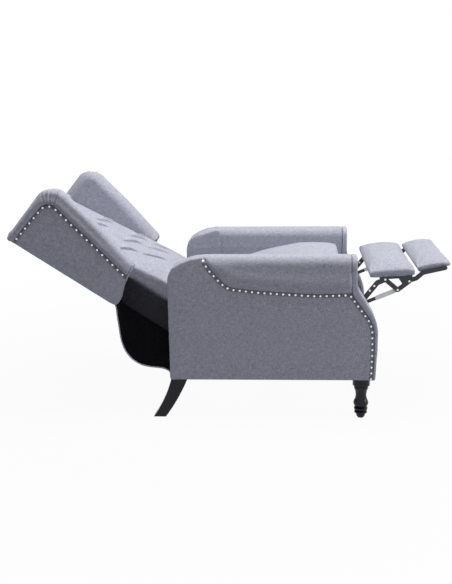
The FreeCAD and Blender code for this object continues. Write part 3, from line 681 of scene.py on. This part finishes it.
# Arms: side panel, padded cover over the arm and inside it, and the front facing.
ARM_NAILS = smooth_line([
    (135, 604), (150, 580.5), (172, 554), (196, 528.5), (212, 515.5), (232, 506), (262, 501),
    (330, 494), (430, 487), (540, 480.5), (600, 481.5), (664, 484)], LINE_STEP)
FRONT_NAILS = smooth_line([
    (664, 484), (690, 448), (715, 413), (733, 387), (743, 363), (748, 330), (749, 278),
    (748, 220), (746, 172), (745.5, 159.5)], LINE_STEP)
ARM_TOP = 625
SIDE_FACE = 345.0
# Half width and thickness of the braid under the nails, and how far it stands off the panel.
BRAID, BRAID_OFF = (6.5, 0.8), 0.1
WING_BRAID, WING_BRAID_OFF = (4.8, 0.8), 0.2
# The lower front corner of a side panel, which runs under the facing.
TOE = [(735, 158.5), (761, 158.5), (761.5, 185), (735, 185)]
TOE_WIDTHS = (335.0, 344.5)
# Behind its inner seam an arm is boxed: its inside stays flat up to the edge.
ARM_SEAM = 148.0
ARM_BOX = [(11, 552), (18, 565), (32, 583), (50, 597.5), (72, 608), (95, 613), (120, 620),
           (145, 621), (145, 552)]
ARM_BOX_WIDTHS = (260.0, 296.0)
# How much higher the rear top corner of an arm is dressed than its solid, by the distance from
# the rear edge, and the heights between which this comes in.
CORNER_RISE = ((0, 8, 15, 27, 40, 52, 65, 78, 90, 103, 115, 130),
               (9, 8.5, 6.5, 1.5, -3.8, -4.8, -6.2, -5.8, -4.0, -3.0, -1.8, 0))
CORNER_HEIGHTS = (440, 540)
# The height where the arm pad stands in front of the inner panel below it, and by how much.
INNER_STEP = (550.0, 2.0)
# Depths of the crease at the nails and of the inner seam, and the bulge of the band.
ARM_CREASE, SEAM_DEPTH, ARM_BULGE = 4.6, 2.4, 5.0


def corner_shaped(obj):
    """Dresses the rear top corner of an arm as the photo shows it."""
    co = coords(obj.data)
    rise = np.interp(from_rear(co), *CORNER_RISE)
    co[:, 2] += rise * smoothstep(co[:, 2] / MM, *CORNER_HEIGHTS) * MM
    set_coords(obj.data, co)


def arm_swell(sign):
    """Push for an arm: its band bulges above a crease at the nails, and a seam runs down inside."""
    def depth(co, out):
        x = from_rear(co)
        z = co[:, 2] / MM
        outer = smoothstep(out[:, 1] * sign, *SIDE_TURN)
        inner = smoothstep(-out[:, 1] * sign, *SIDE_TURN)
        away = line_distance(x, z, ARM_NAILS)
        crease = -ARM_CREASE * bell(away, 4, 9)
        bulge = ARM_BULGE * bell(away, 46, 30) * smoothstep(ARM_TOP - z, 8, 60)
        seam = -SEAM_DEPTH * bell(x, ARM_SEAM, 4.5) * smoothstep(z, 380, 460)
        height, step = INNER_STEP
        eased = step * (1 - smoothstep(z, height - 8, height + 8)) * smoothstep(z, 430, height - 4)
        return outer * (crease + bulge) + inner * (seam + eased)
    return depth


for side, sign in SIDES:
    panel = cad_copy("side_panel_" + side, "outer_side_panel_" + side)
    add_slab(panel, TOE, TOE_WIDTHS, sign, world)
    remeshed(panel, voxel=4.0, rounds=5)
    pushed(panel, panel_crown(rise=2.4, reach=45.0))
    corner_shaped(panel)
    cloth_piece(panel, "base", False, "outer_side_panel_" + side, pad=0.9)

    cover = cad_copy("arm_cover_" + side, "arm_pad_" + side, "inner_side_panel_" + side)
    add_slab(cover, ARM_BOX, ARM_BOX_WIDTHS, sign, world)
    remeshed(cover, voxel=4.5, rounds=8)
    pushed(cover, arm_swell(sign))
    corner_shaped(cover)
    cloth_piece(cover, "base", False, "arm_pad_" + side, "inner_side_panel_" + side, pad=0.8)

    front = "arm_front_panel_" + side
    facing = remeshed(cad_copy("arm_facing_" + side, front), voxel=4.0, rounds=5)
    # The facing is dressed in the lighter copy of the fabric, which is painted light.
    dressed(facing, "base", [facing_painted_light_fabric], "upholstery_fabric", front, pad=0.8)

    for part, line in (("arm", ARM_NAILS), ("front", FRONT_NAILS)):
        # Each nail row gets a braid whose darker tone is partly painted shade.
        width = sign * (SIDE_FACE + BRAID_OFF)
        braid = ribbon(part + "_braid_" + side, line, world, width, *BRAID)
        dressed(braid, "base", [braid_and_painted_shade_fabric], "upholstery_fabric")

# Wings: a rolled border with pleats at its peak round a flat panel.
WING_NAILS = smooth_line([
    (650, -37), (645, -4), (634.5, 71), (627.5, 117), (622, 132), (611, 143.5), (597.5, 149),
    (580, 148.4), (562, 144.5), (530, 137.5), (420, 112.8), (256, 76), (243, 73)], LINE_STEP)
WING_PANEL = [
    (262, -42), (240, -41.7), (227, -40), (219.5, -36), (215.5, -30), (215, -23), (219, -6),
    (231, 31), (236, 67), (240, 77), (580, 153), (600, 153.5), (614.5, 147.5), (625, 134),
    (630.5, 118), (638.5, 71), (649, -4), (654.5, -42)]
WING_FACE = 330.0
WING_PANEL_WIDTHS = (321.0, WING_FACE)
# The lower end of a wing, in the solid and as dressed: places out of the back and up it.
CAD_WING_END = ((-42, 126), (222, 238))
WING_END = ((-43, -40, -36, -30, -23, -6, 31, 67, 125),
            (240, 228, 221, 217, 216.5, 220, 232, 237, 238))
# The rolled edge, and its radii at the inner and the outer face.
WING_RIM = smooth_line([
    (226, 122), (242, 127), (372, 163.5), (560, 216.3), (590, 223), (612, 223), (632, 214),
    (646, 198), (654, 178), (660, 145), (672, 50), (682, -30), (684, -42)], LINE_STEP)
RIM_RADII = (40.0, 13.0)
# The rear end of the roll, at the top of the back.
ROLL_END = [(647, -42), (671, -42), (681, -38), (685, -28), (684, -12), (647, -12)]
ROLL_END_WIDTHS = (312.0, 334.0)
# The bulge of the roll and the crease at its nails.
ROLL_BULGE, ROLL_CREASE = 3.2, 3.6
# Pleats run out from a centre, on the outer part of the width: their angles and depths.
PLEAT_CENTRE = (592.0, 128.0)
PLEAT_WIDTHS = (296, 316)
PLEATS = ((8, 4.6), (19, 1.2), (30, 5.2), (44, 1.6), (58, 1.2))
# How much is taken off a wing's front, and how far up its lower end is shaped.
FRONT_TRIM, END_REACH = 9, 90
# A welt closes the lower end of the roll: its place up the back, then across it and out of it.
WING_WELT_PLACE = 239
WING_WELT = ((331, 76), (333, 92), (331, 108), (326, 116))


def wing_shape(sign):
    """Push for a wing: its border swells outside the nails and is pleated at the peak."""
    def depth(co, out):
        a, y, b = back_coords(co)
        outer = smoothstep(y * sign, *PLEAT_WIDTHS)
        away = line_distance(a, b, WING_NAILS)
        face = smoothstep(out[:, 1] * sign, *SIDE_TURN)
        push = face * (ROLL_BULGE * bell(away, 22, 11) - ROLL_CREASE * bell(away, 4, 7))
        up, forward = a - PLEAT_CENTRE[0], b - PLEAT_CENTRE[1]
        reach = np.hypot(up, forward)
        angle = np.degrees(np.arctan2(up, forward))
        fold = np.zeros(len(co))
        for middle, deep in PLEATS:
            aside = reach * np.radians(angle - middle)
            fold -= deep * bell(aside, 0, 2.4)
            fold += 0.45 * deep * bell(aside, 7, 5)
        fade = smoothstep(reach, 26, 40) * (1 - smoothstep(reach, 84, 110))
        return push + outer * fold * fade
    return depth


def trimmed(wing):
    """Takes a little off the front of a wing, more towards its peak, and shapes its lower end."""
    a, y, b = back_coords(coords(wing.data))
    b = b - FRONT_TRIM * smoothstep(a, 380, 590) * smoothstep(b, 150, 215)
    end = np.interp(b, *CAD_WING_END)
    a = a + (np.interp(b, *WING_END) - end) * (1 - smoothstep(a, end, end + END_REACH))
    set_coords(wing.data, on_back(a, y, b))


for side, sign in SIDES:
    wing = cad_copy("wing_roll_" + side, "wing_" + side)
    add_slab(wing, ROLL_END, ROLL_END_WIDTHS, sign, on_back)
    remeshed(wing, voxel=4.5, rounds=4)
    finer(wing)
    rounded_rim(wing, WING_RIM, RIM_RADII)
    trimmed(wing)
    pushed(wing, wing_shape(sign))
    cloth_piece(wing, "back", True, "wing_" + side, pad=0.8)

    panel = new_piece("wing_panel_" + side, [], [])
    add_slab(panel, WING_PANEL, WING_PANEL_WIDTHS, sign, on_back)
    remeshed(panel, voxel=3.0, rounds=3)
    pushed(panel, panel_crown(rise=1.6, reach=40.0))
    cloth_piece(panel, "back", True, "wing_outer_panel_" + side, pad=0.9)

    # The wing's braid has the same darker tone, which is partly painted shade.
    width = sign * (WING_FACE + WING_BRAID_OFF)
    braid = ribbon("wing_braid_" + side, WING_NAILS, on_back, width, *WING_BRAID)
    dressed(braid, "back", [braid_and_painted_shade_fabric], "upholstery_fabric")

    end = [on_back(WING_WELT_PLACE, sign * y, b) / MM for y, b in WING_WELT]
    welt = tube("wing_welt_" + side, smooth_line(end, step=4) * MM, radius=2.2)
    cloth_piece(welt, "back", True)

# Outside back: its rear face is crowned, and its lower corners are drawn up at the sides.
# The crown has a rise, a half width, a middle up the back and a half length.
REAR_CROWN = (5.0, 320, 450, 240)
REAR_FACE = -36
CORNER_LIFT = 24


def rear_crown(co, out):
    """Push for the outside back: a slow crown over its rear face."""
    rise, half, middle, length = REAR_CROWN
    a, y, b = back_coords(co)
    inside = np.clip(1 - (y / half) ** 2, 0, 1) * np.clip(1 - ((a - middle) / length) ** 2, 0, 1)
    return rise * np.sqrt(inside) * (b < REAR_FACE)


outside = remeshed(cad_copy("outside_back", "outside_back_panel"), voxel=5.0, rounds=4)
pushed(outside, rear_crown)
a, y, b = back_coords(coords(outside.data))
a = a + CORNER_LIFT * smoothstep(np.abs(y), 282, 326) * (1 - smoothstep(a, 217, 330))
set_coords(outside.data, on_back(a, y, b))
cloth_piece(outside, "back", True, "outside_back_panel", pad=0.9)

# Inside back: a crowned pad with sewn tufts, each with a tuck below it.
BACK_STATIONS = [
    (-40, 244, 48.5, 96, 122), (20, 249, 48.5, 118, 148), (120, 248, 48.5, 118, 150),
    (222, 250, 48.5, 106, 141), (236, 257, 48.5, 104, 140), (360, 256, 48.5, 90, 126),
    (500, 256, 48.5, 75, 110), (637, 257, 48.5, 62, 92)]
# Rows of tufts: place up the back, places across it, depth, and the length and height of the
# tuck below.
FOUR_ACROSS = (-157.5, -52.5, 52.5, 157.5)
TUFT_ROWS = ((496, FOUR_ACROSS, 20, 105, 12.0), (345, FOUR_ACROSS, 20, 105, 12.0),
             (246, (-105, 0, 105), 10, 125, 9.0))
# Hollows at the sides of the pad: place up the back and depth.
EDGE_TUFTS = ((440, 9), (300, 9))
# What stays still while the pad swells: all below a height, all beyond a width, and a ring round
# each tuft of the upper rows.
HELD_BELOW, HELD_BEYOND, HELD_RING = 52, 243, 12
# Straight out of the back.
SQUARE_OUT = np.array((math.sin(SLOPE), 0, math.cos(SLOPE)))
# How far the skin of the back or the seat may swell.
CUSHION_CAP = 9


def tuft_depth(co, out):
    """Push for the inside back: its tufts, the tucks below them and the hollows at the sides."""
    a, y, b = back_coords(co)
    depth = np.zeros(len(co))
    for row, columns, deep, tuck, step in TUFT_ROWS:
        down = row - a
        fade = smoothstep(down, -10, 8) * smoothstep(tuck - down, 0, tuck * 0.6)
        sway = 0.35 * tuck * (1 - np.cos(np.clip(down, 0, tuck) / tuck * 3.1)) / 2
        for column in columns:
            reach = np.hypot((a - row) * 0.9, y - column)
            depth -= deep * (0.65 * bell(reach, 0, 30) + 0.35 * bell(reach, 0, 10))
            aside = y - column - sway
            above = 0.55 * np.exp(-np.maximum(aside, 0) / 34)
            below = -0.45 * np.exp(np.minimum(aside, 0) / 26)
            wall = smoothstep(aside, -2.0, 2.0)
            depth += step * fade * (above * wall + below * (1 - wall))
    for row, deep in EDGE_TUFTS:
        depth -= deep * bell(a, row, 30) * smoothstep(np.abs(y), 150, 235)
    return depth * smoothstep(out @ SQUARE_OUT, 0.2, 0.7)


def held_back(co):
    """The points of the inside back that stay still while it swells."""
    a, y, b = back_coords(co)
    pins = (b < HELD_BELOW) | (np.abs(y) > HELD_BEYOND)
    for row, columns, *_ in TUFT_ROWS[:2]:
        for column in columns:
            pins |= np.hypot(a - row, y - column) < HELD_RING
    return pins


def near_folds(co):
    """The places round the tufts and tucks, which need a finer mesh."""
    a, y, b = back_coords(co)
    near = np.zeros(len(co), bool)
    for row, columns, _, tuck, _ in TUFT_ROWS:
        rows = (b > 60) & (a < row + 16) & (a > row - tuck - 8)
        for column in columns:
            near |= rows & (np.abs(y - column - 18) < 32)
    return near


inside = remeshed(loft("inside_back", on_back, BACK_STATIONS, step=4.0), voxel=7.0, rounds=4)
swollen(inside, CUSHION_CAP, held_back)
finer(inside)
refined(inside, near_folds)
pushed(inside, tuft_depth)
cloth_piece(inside, "back", True, "inside_back_cushion", pad=0.6)

# Head roll: its front is dressed lower than its solid.
ROLL_DROP = 14.0
roll = remeshed(cad_copy("head_roll_cover", "head_roll"), voxel=4.5, rounds=10)
a, y, b = back_coords(coords(roll.data))
set_coords(roll.data, on_back(a, y, b - ROLL_DROP * smoothstep(b, 20, 92)))
cloth_piece(roll, "back", True, "head_roll", pad=0.7)

# Seat: a boxed cushion with a welt round its front.
SEAT = Slope(195.0, 345.0, 11.0)
SEAT_STATIONS = [
    (0, 250, 0, 118, 140), (50, 254, 0, 140, 164), (200, 251, 0, 152, 182), (330, 251, 0, 153, 182),
    (420, 253, 0, 144, 174), (458, 252, 4, 135, 164), (474, 250, 14, 128, 156)]
# What stays still while the seat swells: all below a height and all in front of a place.
SEAT_HELD_BELOW, SEAT_HELD_FRONT = 6, 464
# The welt's place along the seat, and its half line across the seat and out of it.
WELT_PLACE = 472
WELT_HALF = [(250, 30), (250, 80), (249, 118), (236, 130), (160, 142)]
WELT_MIDDLE = (0, 153)


def held_seat(co):
    """The points of the seat that stay still while it swells."""
    along, _, out = SEAT.coords(co)
    return (out < SEAT_HELD_BELOW) | (along > SEAT_HELD_FRONT)


seat = remeshed(loft("seat_pad", SEAT.place, SEAT_STATIONS, step=4.0), voxel=7.0, rounds=3)
swollen(seat, CUSHION_CAP, held_seat)
finer(seat)
cloth_piece(seat, "seat", False, "seat_cushion", pad=0.7)
welt_line = [(-y, out) for y, out in WELT_HALF] + [WELT_MIDDLE] + WELT_HALF[::-1]
welt_line = [SEAT.place(WELT_PLACE, y, out) / MM for y, out in welt_line]
welt_line = laid(seat, smooth_line(welt_line, step=6.0) * MM, lift=1.0)
cloth_piece(tube("seat_welt", welt_line, radius=2.6), "seat", False)

# Footrest pads: fabric wrapped over a board, its under side included. Each has its body, slope,
# stations and under side.
PADS = (
    ("footrest", Slope(799.0, 521.0, 3.7),
     [(-57, 253, 14, 29, 38), (-50, 255, 14, 32, 45), (-25, 256, 14, 33, 50), (30, 255, 14, 33, 53),
      (80, 256, 14, 33, 50), (103, 255, 14, 31, 44), (111, 253, 14, 28, 36)], 14.5),
    ("flipper", Slope(888.0, 514.0, 12.0),
     [(39, 234, 27.5, 40, 46), (46, 236, 27.5, 43, 51), (70, 237, 27.5, 44, 55),
      (100, 236, 27.5, 43, 55), (130, 237, 27.5, 40, 51), (155, 236, 27.5, 36, 43),
      (162, 234, 27.5, 34, 38)], 28.0))
# How far the skin of a pad may swell.
PAD_CAP = 5
# How far the cloth hangs below the board at the two sides.
LIP = 6.0

for body, slope, stations, bottom in PADS:
    half = stations[2][1]
    pad = loft(body + "_cover", slope.place, stations, step=3.0, square=14)
    remeshed(pad, voxel=4.5, rounds=2)
    swollen(pad, PAD_CAP, lambda co: ((slope.coords(co)[2] < bottom + 2)
                                      | (np.abs(co[:, 1]) / MM > half - 5)))
    finer(pad)
    co = coords(pad.data)
    _, y, rise = slope.coords(co)
    down = LIP * smoothstep(np.abs(y), half - 9, half - 2)
    down = down * (1 - smoothstep(rise, bottom + 2, bottom + 12)) * MM
    co[:, 0] += down * slope.sin
    co[:, 2] -= down * slope.cos
    set_coords(pad.data, co)
    cloth_piece(pad, body, False, body + "_pad", body + "_board", pad=0.8)

# The skirt, seen from the side. Its upper end runs up inside the back panel and its lower end
# covers the rear rail, while the linings at its sides stop short of both.
SKIRT_CURVE = [
    (-192.5, 397), (-188.5, 359), (-183.5, 315), (-178, 290), (-171, 270), (-160, 250),
    (-145, 232), (-127, 218), (-105, 207), (-76, 200.5), (-46, 197.5), (-26, 194)]
SKIRT_LINE = ([(-204.5, 447), (-196, 435)] + SKIRT_CURVE
              + [(-10, 187), (-3, 180), (-1.5, 171), (-1.5, 159.5)])
LINING_LINE = [(-196, 446), (-195, 434)] + SKIRT_CURVE + [(-10, 186), (-1.5, 180)]
SKIRT_HALF = 318.0
# Between these two the skirt goes over from the base to the back.
SKIRT_TOP = tuple(world(-196, 0, 434).tolist())
SKIRT_FOOT = tuple(world(-100, 0, 200).tolist())
HEM = 2.3
# Points across the skirt and its linings, and up the black cloth.
SKIRT_COLUMNS, LINING_COLUMNS, COVER_ROWS = 110, 30, 60


def skirt():
    """Fabric that hangs from the back to the rear rail, with slow waves and two hems."""
    line = smooth_line(SKIRT_LINE, step=5.0)
    ahead = tangents(line)
    width = np.linspace(-SKIRT_HALF, SKIRT_HALF, SKIRT_COLUMNS)
    share = np.linspace(0, 1, len(line))[:, None]
    wave = 1.8 * np.sin(width / 38 + 2.2 * share) + 1.2 * np.sin(width / 17 - 3 * share)
    wave *= np.sin(math.pi * share) ** 0.7 * (1 - np.abs(width / SKIRT_HALF) ** 6)
    grid = world(line[:, :1] + ahead[:, 1:] * wave, width, line[:, 1:] - ahead[:, :1] * wave)
    obj = sheet_piece("skirt", grid[:, ::-1], thickness=1.6)
    dressed(obj, None, [back_fabric, lining], "upholstery_fabric", "rear_skirt")
    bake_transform(obj)
    for side, sign in SIDES:
        edge = world(line[:, 0], sign * SKIRT_HALF, line[:, 1])
        edge = tube("skirt_hem_" + side, edge, HEM, sides=8)
        dressed(edge, None, [back_fabric], "upholstery_fabric")
        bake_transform(edge)


# A lining's edge on the back: from one place up the back to another, and out of the back.
LINING_PLACES, LINING_OUT = (222, -18), -40
# Its widths at the skirt and at the back. What is wider than the back stays behind the arms.
LINING_WIDTHS, BACK_WIDTH, BEHIND_ARMS = (315.0, 256.5), 258.5, -1.0


def side_lining(side, sign):
    """Black lining that closes the side between the skirt, the lower back and the base; its cloth
    is a much darker copy of the black lining, painted shade.
    """
    line = smooth_line(LINING_LINE, step=6.0)
    edge_x, edge_z = back_plane(np.linspace(*LINING_PLACES, len(line)), LINING_OUT)
    share = np.linspace(0, 1, LINING_COLUMNS)
    x = (line[:, :1] + 2.0) * (1 - share) + edge_x[:, None] * share
    z = (line[:, 1:] + 1.0) * (1 - share) + edge_z[:, None] * share
    outer, inner = LINING_WIDTHS
    ripple = 2.0 * np.sin(x / 21) * np.sin(math.pi * share)
    y = sign * (outer * (1 - share) + inner * share + ripple)
    x = np.where(np.abs(y) > BACK_WIDTH, np.minimum(x, BEHIND_ARMS), x)
    grid = world(x, y, z)
    if sign > 0:
        grid = grid[::-1]
    obj = sheet_piece("side_lining_" + side, grid, thickness=1.0)
    dressed(obj, None, [painted_shade_lining, painted_shade_lining], "black_cloth")
    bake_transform(obj)


# The black cloth round the lower back: half its path across the back and out of it, its lower
# edge, and its upper edge by the place out of the back.
COVER_HALF = [(255.2, 60.0), (255.2, 10.0), (255.2, -30.0), (252.0, -40.0), (243.0, -42.8),
              (180.0, -42.9), (90.0, -43.2)]
COVER_MIDDLE = (0.0, -43.2)
COVER_FOOT = -44.0
COVER_TOP = ((-43, -31, -24), (208.0, 208.0, 236.0))


def back_cover():
    """One strip of black cloth round both sides and the rear of the lower back."""
    path = COVER_HALF + [COVER_MIDDLE] + [(-y, b) for y, b in COVER_HALF[::-1]]
    line = smooth_line(path, step=6.0)
    top = np.interp(line[:, 1], *COVER_TOP)
    a = COVER_FOOT + (top - COVER_FOOT) * np.linspace(0, 1, COVER_ROWS)[:, None]
    obj = sheet_piece("lower_back_cloth", on_back(a, line[:, 0], line[:, 1]), thickness=1.4)
    dressed(obj, "back", [lining, lining], "black_cloth", "lower_back_covers")


skirt()
for side, sign in SIDES:
    side_lining(side, sign)
back_cover()

# CAD nodes take the material of their slot; the steel that is deep in the shade gets a darker,
# duller copy of the black steel: painted shade.
SHADED_STEEL = ("back_brackets",)
for entry in frame["record"]["subparts"]:
    shape = nodes[entry["node"]]
    material = SLOT_MATERIALS[entry["material_slot"]]
    shape.data.materials.clear()
    shape.data.materials.append(painted_shade_steel if entry["node"] in SHADED_STEEL else material)


# Floor, light and camera.
FLOOR_REACH = 60.0


def floor():
    """White floor: camera and reflections see it glow, least under the object, for its shadow."""
    corners = [(x * FLOOR_REACH, y * FLOOR_REACH, 0)
               for x, y in ((-1, -1), (1, -1), (1, 1), (-1, 1))]
    obj = new_piece("floor", corners, [(0, 1, 2, 3)])
    shader = Shader("studio_floor")
    shader.set(Base_Color=(0.5, 0.5, 0.5, 1), Roughness=0.9, Specular_IOR_Level=0.1)
    glow = shader.add("ShaderNodeEmission")
    far = shader.add("ShaderNodeVectorMath", operation="LENGTH")
    shader.link(shader.position(), far.inputs[0])
    share = shader.add("ShaderNodeMapRange")
    for key, value in (("From Min", 0.9), ("From Max", 2.6), ("To Min", 0.95), ("To Max", 1.0)):
        share.inputs[key].default_value = value
    shader.link(far.outputs["Value"], share.inputs["Value"])
    path = shader.add("ShaderNodeLightPath")
    mix = shader.add("ShaderNodeMixShader")
    seen = shader.math("MAXIMUM", path.outputs["Is Camera Ray"], path.outputs["Is Glossy Ray"])
    seen = shader.math("MAXIMUM", seen, path.outputs["Is Transmission Ray"])
    shader.link(shader.math("MULTIPLY", seen, share.outputs["Result"]), mix.inputs[0])
    shader.link(shader.surface.outputs[0], mix.inputs[1])
    shader.link(glow.outputs[0], mix.inputs[2])
    shader.link(mix.outputs[0], shader.tree.nodes["Material Output"].inputs["Surface"])
    obj.data.materials.append(shader.material)


def sky(ambient, tint):
    """Even studio light, tinted; the camera and reflections see plain white."""
    scene.world = bpy.data.worlds.new("studio")
    scene.world.use_nodes = True
    tree = scene.world.node_tree
    soft = tree.nodes["Background"]
    soft.inputs["Color"].default_value = (*tint, 1)
    soft.inputs["Strength"].default_value = ambient
    white = tree.nodes.new("ShaderNodeBackground")
    white.inputs["Color"].default_value = (1, 1, 1, 1)
    path = tree.nodes.new("ShaderNodeLightPath")
    mix = tree.nodes.new("ShaderNodeMixShader")
    seen = path.outputs["Is Camera Ray"]
    for ray in ("Is Glossy Ray", "Is Transmission Ray"):
        either = tree.nodes.new("ShaderNodeMath")
        either.operation = "MAXIMUM"
        tree.links.new(seen, either.inputs[0])
        tree.links.new(path.outputs[ray], either.inputs[1])
        seen = either.outputs[0]
    tree.links.new(seen, mix.inputs[0])
    tree.links.new(soft.outputs[0], mix.inputs[1])
    tree.links.new(white.outputs[0], mix.inputs[2])
    tree.links.new(mix.outputs[0], tree.nodes["World Output"].inputs["Surface"])


def lamp(name, place, target, size, power, tint):
    """Rectangular area light that looks at a target."""
    data = bpy.data.lights.new(name, "AREA")
    data.shape = "RECTANGLE"
    data.size, data.size_y = size
    data.energy = power
    data.color = tint
    obj = bpy.data.objects.new(name, data)
    obj.location = place
    obj.rotation_euler = (Vector(target) - Vector(place)).to_track_quat("-Z", "Y").to_euler()
    scene.collection.objects.link(obj)


# A lamp has a name, place, target, size in metres, power in watts and tint.
floor()
sky(ambient=0.155, tint=(0.88, 0.95, 1.16))
lamp("overhead", (0.15, -0.18, 3.2), (0.1, 0.0, 0.4), (3.2, 1.6), 124, (1.0, 0.985, 0.92))
lamp("front_side", (3.4, -0.6, 1.5), (0.2, 0.0, 0.45), (1.6, 1.6), 45, (1.0, 0.99, 0.97))
lamp("front_fill", (0.6, -3.6, 1.6), (0.0, 0.0, 0.4), (2.5, 2.0), 4, (0.90, 0.96, 1.0))

# The camera's place and turn, fitted to the photo.
EYE_PLACE = (0.2196, -3.3616, 1.2397)
YAW, PITCH, ROLL = math.radians(-2.462), math.radians(13.837), math.radians(-0.565)
eye = bpy.data.cameras.new("eye")
eye.lens = 52.899
eye.sensor_width = 36.0
eye.shift_x = -0.0497
eye.clip_start = 0.05
camera = bpy.data.objects.new("eye", eye)
ahead = Vector((math.sin(YAW) * math.cos(PITCH), math.cos(YAW) * math.cos(PITCH), -math.sin(PITCH)))
turn = ahead.to_track_quat("-Z", "Y").to_matrix()
camera.rotation_euler = (turn @ Matrix.Rotation(ROLL, 3, Vector((0, 0, 1)))).to_euler()
camera.location = EYE_PLACE
scene.collection.objects.link(camera)
scene.camera = camera
scene.view_settings.view_transform = "Standard"
